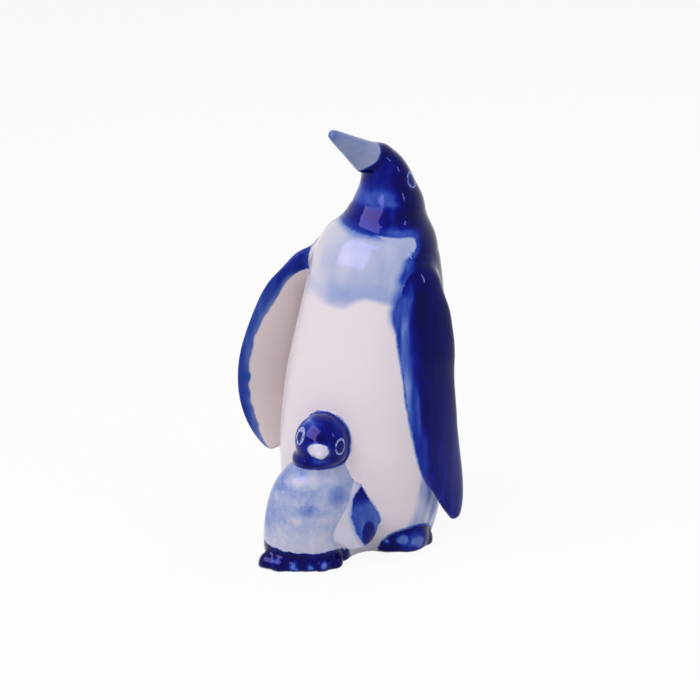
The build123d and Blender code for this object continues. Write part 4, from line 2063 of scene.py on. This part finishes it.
LAMPS = (
    SoftBox(
        "key_fill", (-150.0, -360.0, 416.0), (0.0, 0.0, 65.0), (460.0, 400.0), 1.8, (1.0, 0.96, 0.98), shines=False
    ),
    SoftBox(
        "key_shine", (-196.0, -327.0, 416.0), (0.0, 0.0, 65.0), (500.0, 470.0), 7.0, (1.0, 0.90, 1.0), fills=False
    ),
    SoftBox(
        "top_fill", (166.0, 213.0, 480.0), (0.0, 0.0, 50.0), (600.0, 600.0), 1.0, (1.0, 0.95, 1.0), shines=False
    ),
    SoftBox("side_strip", (420.0, -40.0, 285.0), (0.0, 0.0, 60.0), (26.0, 120.0), 0.2),
)


@dataclass
class Studio:
    """Camera, floor, lamps and surroundings.

    Attributes:
        turn: Degrees that the camera stands to the object's left of its front.
        rise: Degrees that it looks down.
        distance: Millimetres from the point it looks at.
        scale: Photograph pixels for each millimetre at that point.
        across: Millimetres from the origin to that point along the picture.
        up: Millimetres from the origin to that point up the picture.
        frame_width: Width of the photograph in pixels.
        sensor: Width of the camera's sensor in millimetres.
        floor_half: Half the floor's width, in metres.
        paper: Colour of the floor.
        floor_white: How far the floor shows as white where the surroundings do.
        sky: Colour of the surroundings.
        sky_light: Strength with which they light the surfaces.
    """

    turn: float = 25.0
    rise: float = 20.0
    distance: float = 550.0
    scale: float = 4.16
    across: float = -3.2
    up: float = 43.0
    frame_width: int = 700
    sensor: float = 36.0
    floor_half: float = 6.0
    paper: tuple[float, ...] = (0.86, 0.86, 0.86, 1.0)
    floor_white: float = 0.9
    sky: tuple[float, ...] = (0.93, 0.94, 1.0, 1.0)
    sky_light: float = 0.38

    def axes(self) -> tuple[Vector, Vector, Vector]:
        """Find the directions of the picture.

        Returns:
            Right, up and backward.
        """
        turn, rise = radians(self.turn), radians(self.rise)
        right = Vector((cos(turn), sin(turn), 0.0))
        back = Vector((sin(turn) * cos(rise), -cos(turn) * cos(rise), sin(rise)))
        return right, back.cross(right), back

    def camera(self) -> None:
        """Add the camera at the photograph's viewing angle."""
        right, up, back = self.axes()
        target = right * self.across + up * self.up
        data = bpy.data.cameras.new("camera")
        data.sensor_width = self.sensor
        data.lens = self.scale * self.distance * self.sensor / self.frame_width
        data.clip_start = 0.01
        data.clip_end = 20.0
        camera = bpy.data.objects.new("camera", data)
        turn = Matrix((right, up, back)).transposed().to_4x4()
        camera.matrix_world = Matrix.Translation((target + back * self.distance) * MM) @ turn
        bpy.context.scene.collection.objects.link(camera)
        bpy.context.scene.camera = camera

    @staticmethod
    def seen(tree: Tree) -> bpy.types.NodeSocket:
        """Mask of the rays from the camera, a mirror or glass.

        Args:
            tree: Node tree to build it in.

        Returns:
            1 for these rays, 0 for those that light a surface.
        """
        path = tree.add("ShaderNodeLightPath").outputs
        mirrored = tree.math("MAXIMUM", path["Is Glossy Ray"], path["Is Transmission Ray"])
        return tree.math("MAXIMUM", path["Is Camera Ray"], mirrored)

    def floor(self) -> None:
        """Add the pale floor, which shows white to the camera and keeps a soft shadow."""
        mesh = bpy.data.meshes.new("floor")
        half = self.floor_half
        corners = [(-half, -half, 0), (half, -half, 0), (half, half, 0), (-half, half, 0)]
        mesh.from_pydata(corners, [], [(0, 1, 2, 3)])
        floor = bpy.data.objects.new("floor", mesh)
        bpy.context.scene.collection.objects.link(floor)
        material = bpy.data.materials.new("floor_paper")
        material.use_nodes = True
        material.node_tree.nodes.clear()
        tree = Tree(material.node_tree)
        paper = tree.use("ShaderNodeBsdfDiffuse", {"Color": self.paper})
        white = tree.use("ShaderNodeEmission", {"Color": (1.0, 1.0, 1.0, 1.0), "Strength": 1.0})
        share = tree.times(self.seen(tree), self.floor_white)
        mixed = tree.use("ShaderNodeMixShader", {0: share, 1: paper, 2: white})
        tree.put(mixed, tree.add("ShaderNodeOutputMaterial").inputs["Surface"])
        mesh.materials.append(material)

    def world(self) -> None:
        """Add even pale surroundings, plain white to the camera."""
        world = bpy.data.worlds.new("studio")
        world.use_nodes = True
        world.node_tree.nodes.clear()
        tree = Tree(world.node_tree)
        strength = tree.blend(self.seen(tree), self.sky_light, 1.0)
        light = tree.use("ShaderNodeBackground", {"Color": self.sky, "Strength": strength})
        tree.put(light, tree.add("ShaderNodeOutputWorld").inputs["Surface"])
        bpy.context.scene.world = world

    def build(self) -> None:
        """Set up the whole studio."""
        self.camera()
        self.floor()
        self.world()
        for lamp in LAMPS:
            lamp.build()
        bpy.context.scene.view_settings.view_transform = "Standard"


def main() -> None:
    """Build the studio, the adult, the chick and the web."""
    logging.basicConfig(level=logging.INFO, format="%(message)s", stream=sys.stdout)
    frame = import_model()
    Studio().build()
    casting = Casting.around(dict(frame["nodes"]))
    figures = (Adult(casting), Chick(casting), Web(casting))
    for figure in figures:
        figure.measure()
    for figure in figures:
        figure.lute()
    casting.soften()
    for figure in figures:
        figure.trim()
    skin = casting.skin()
    LOG.info("skin: %d points, %d faces", len(skin.points), len(skin.quads))
    kiln = Kiln()
    for figure in figures:
        figure.build(skin, kiln)


if __name__ == "__main__":
    main()
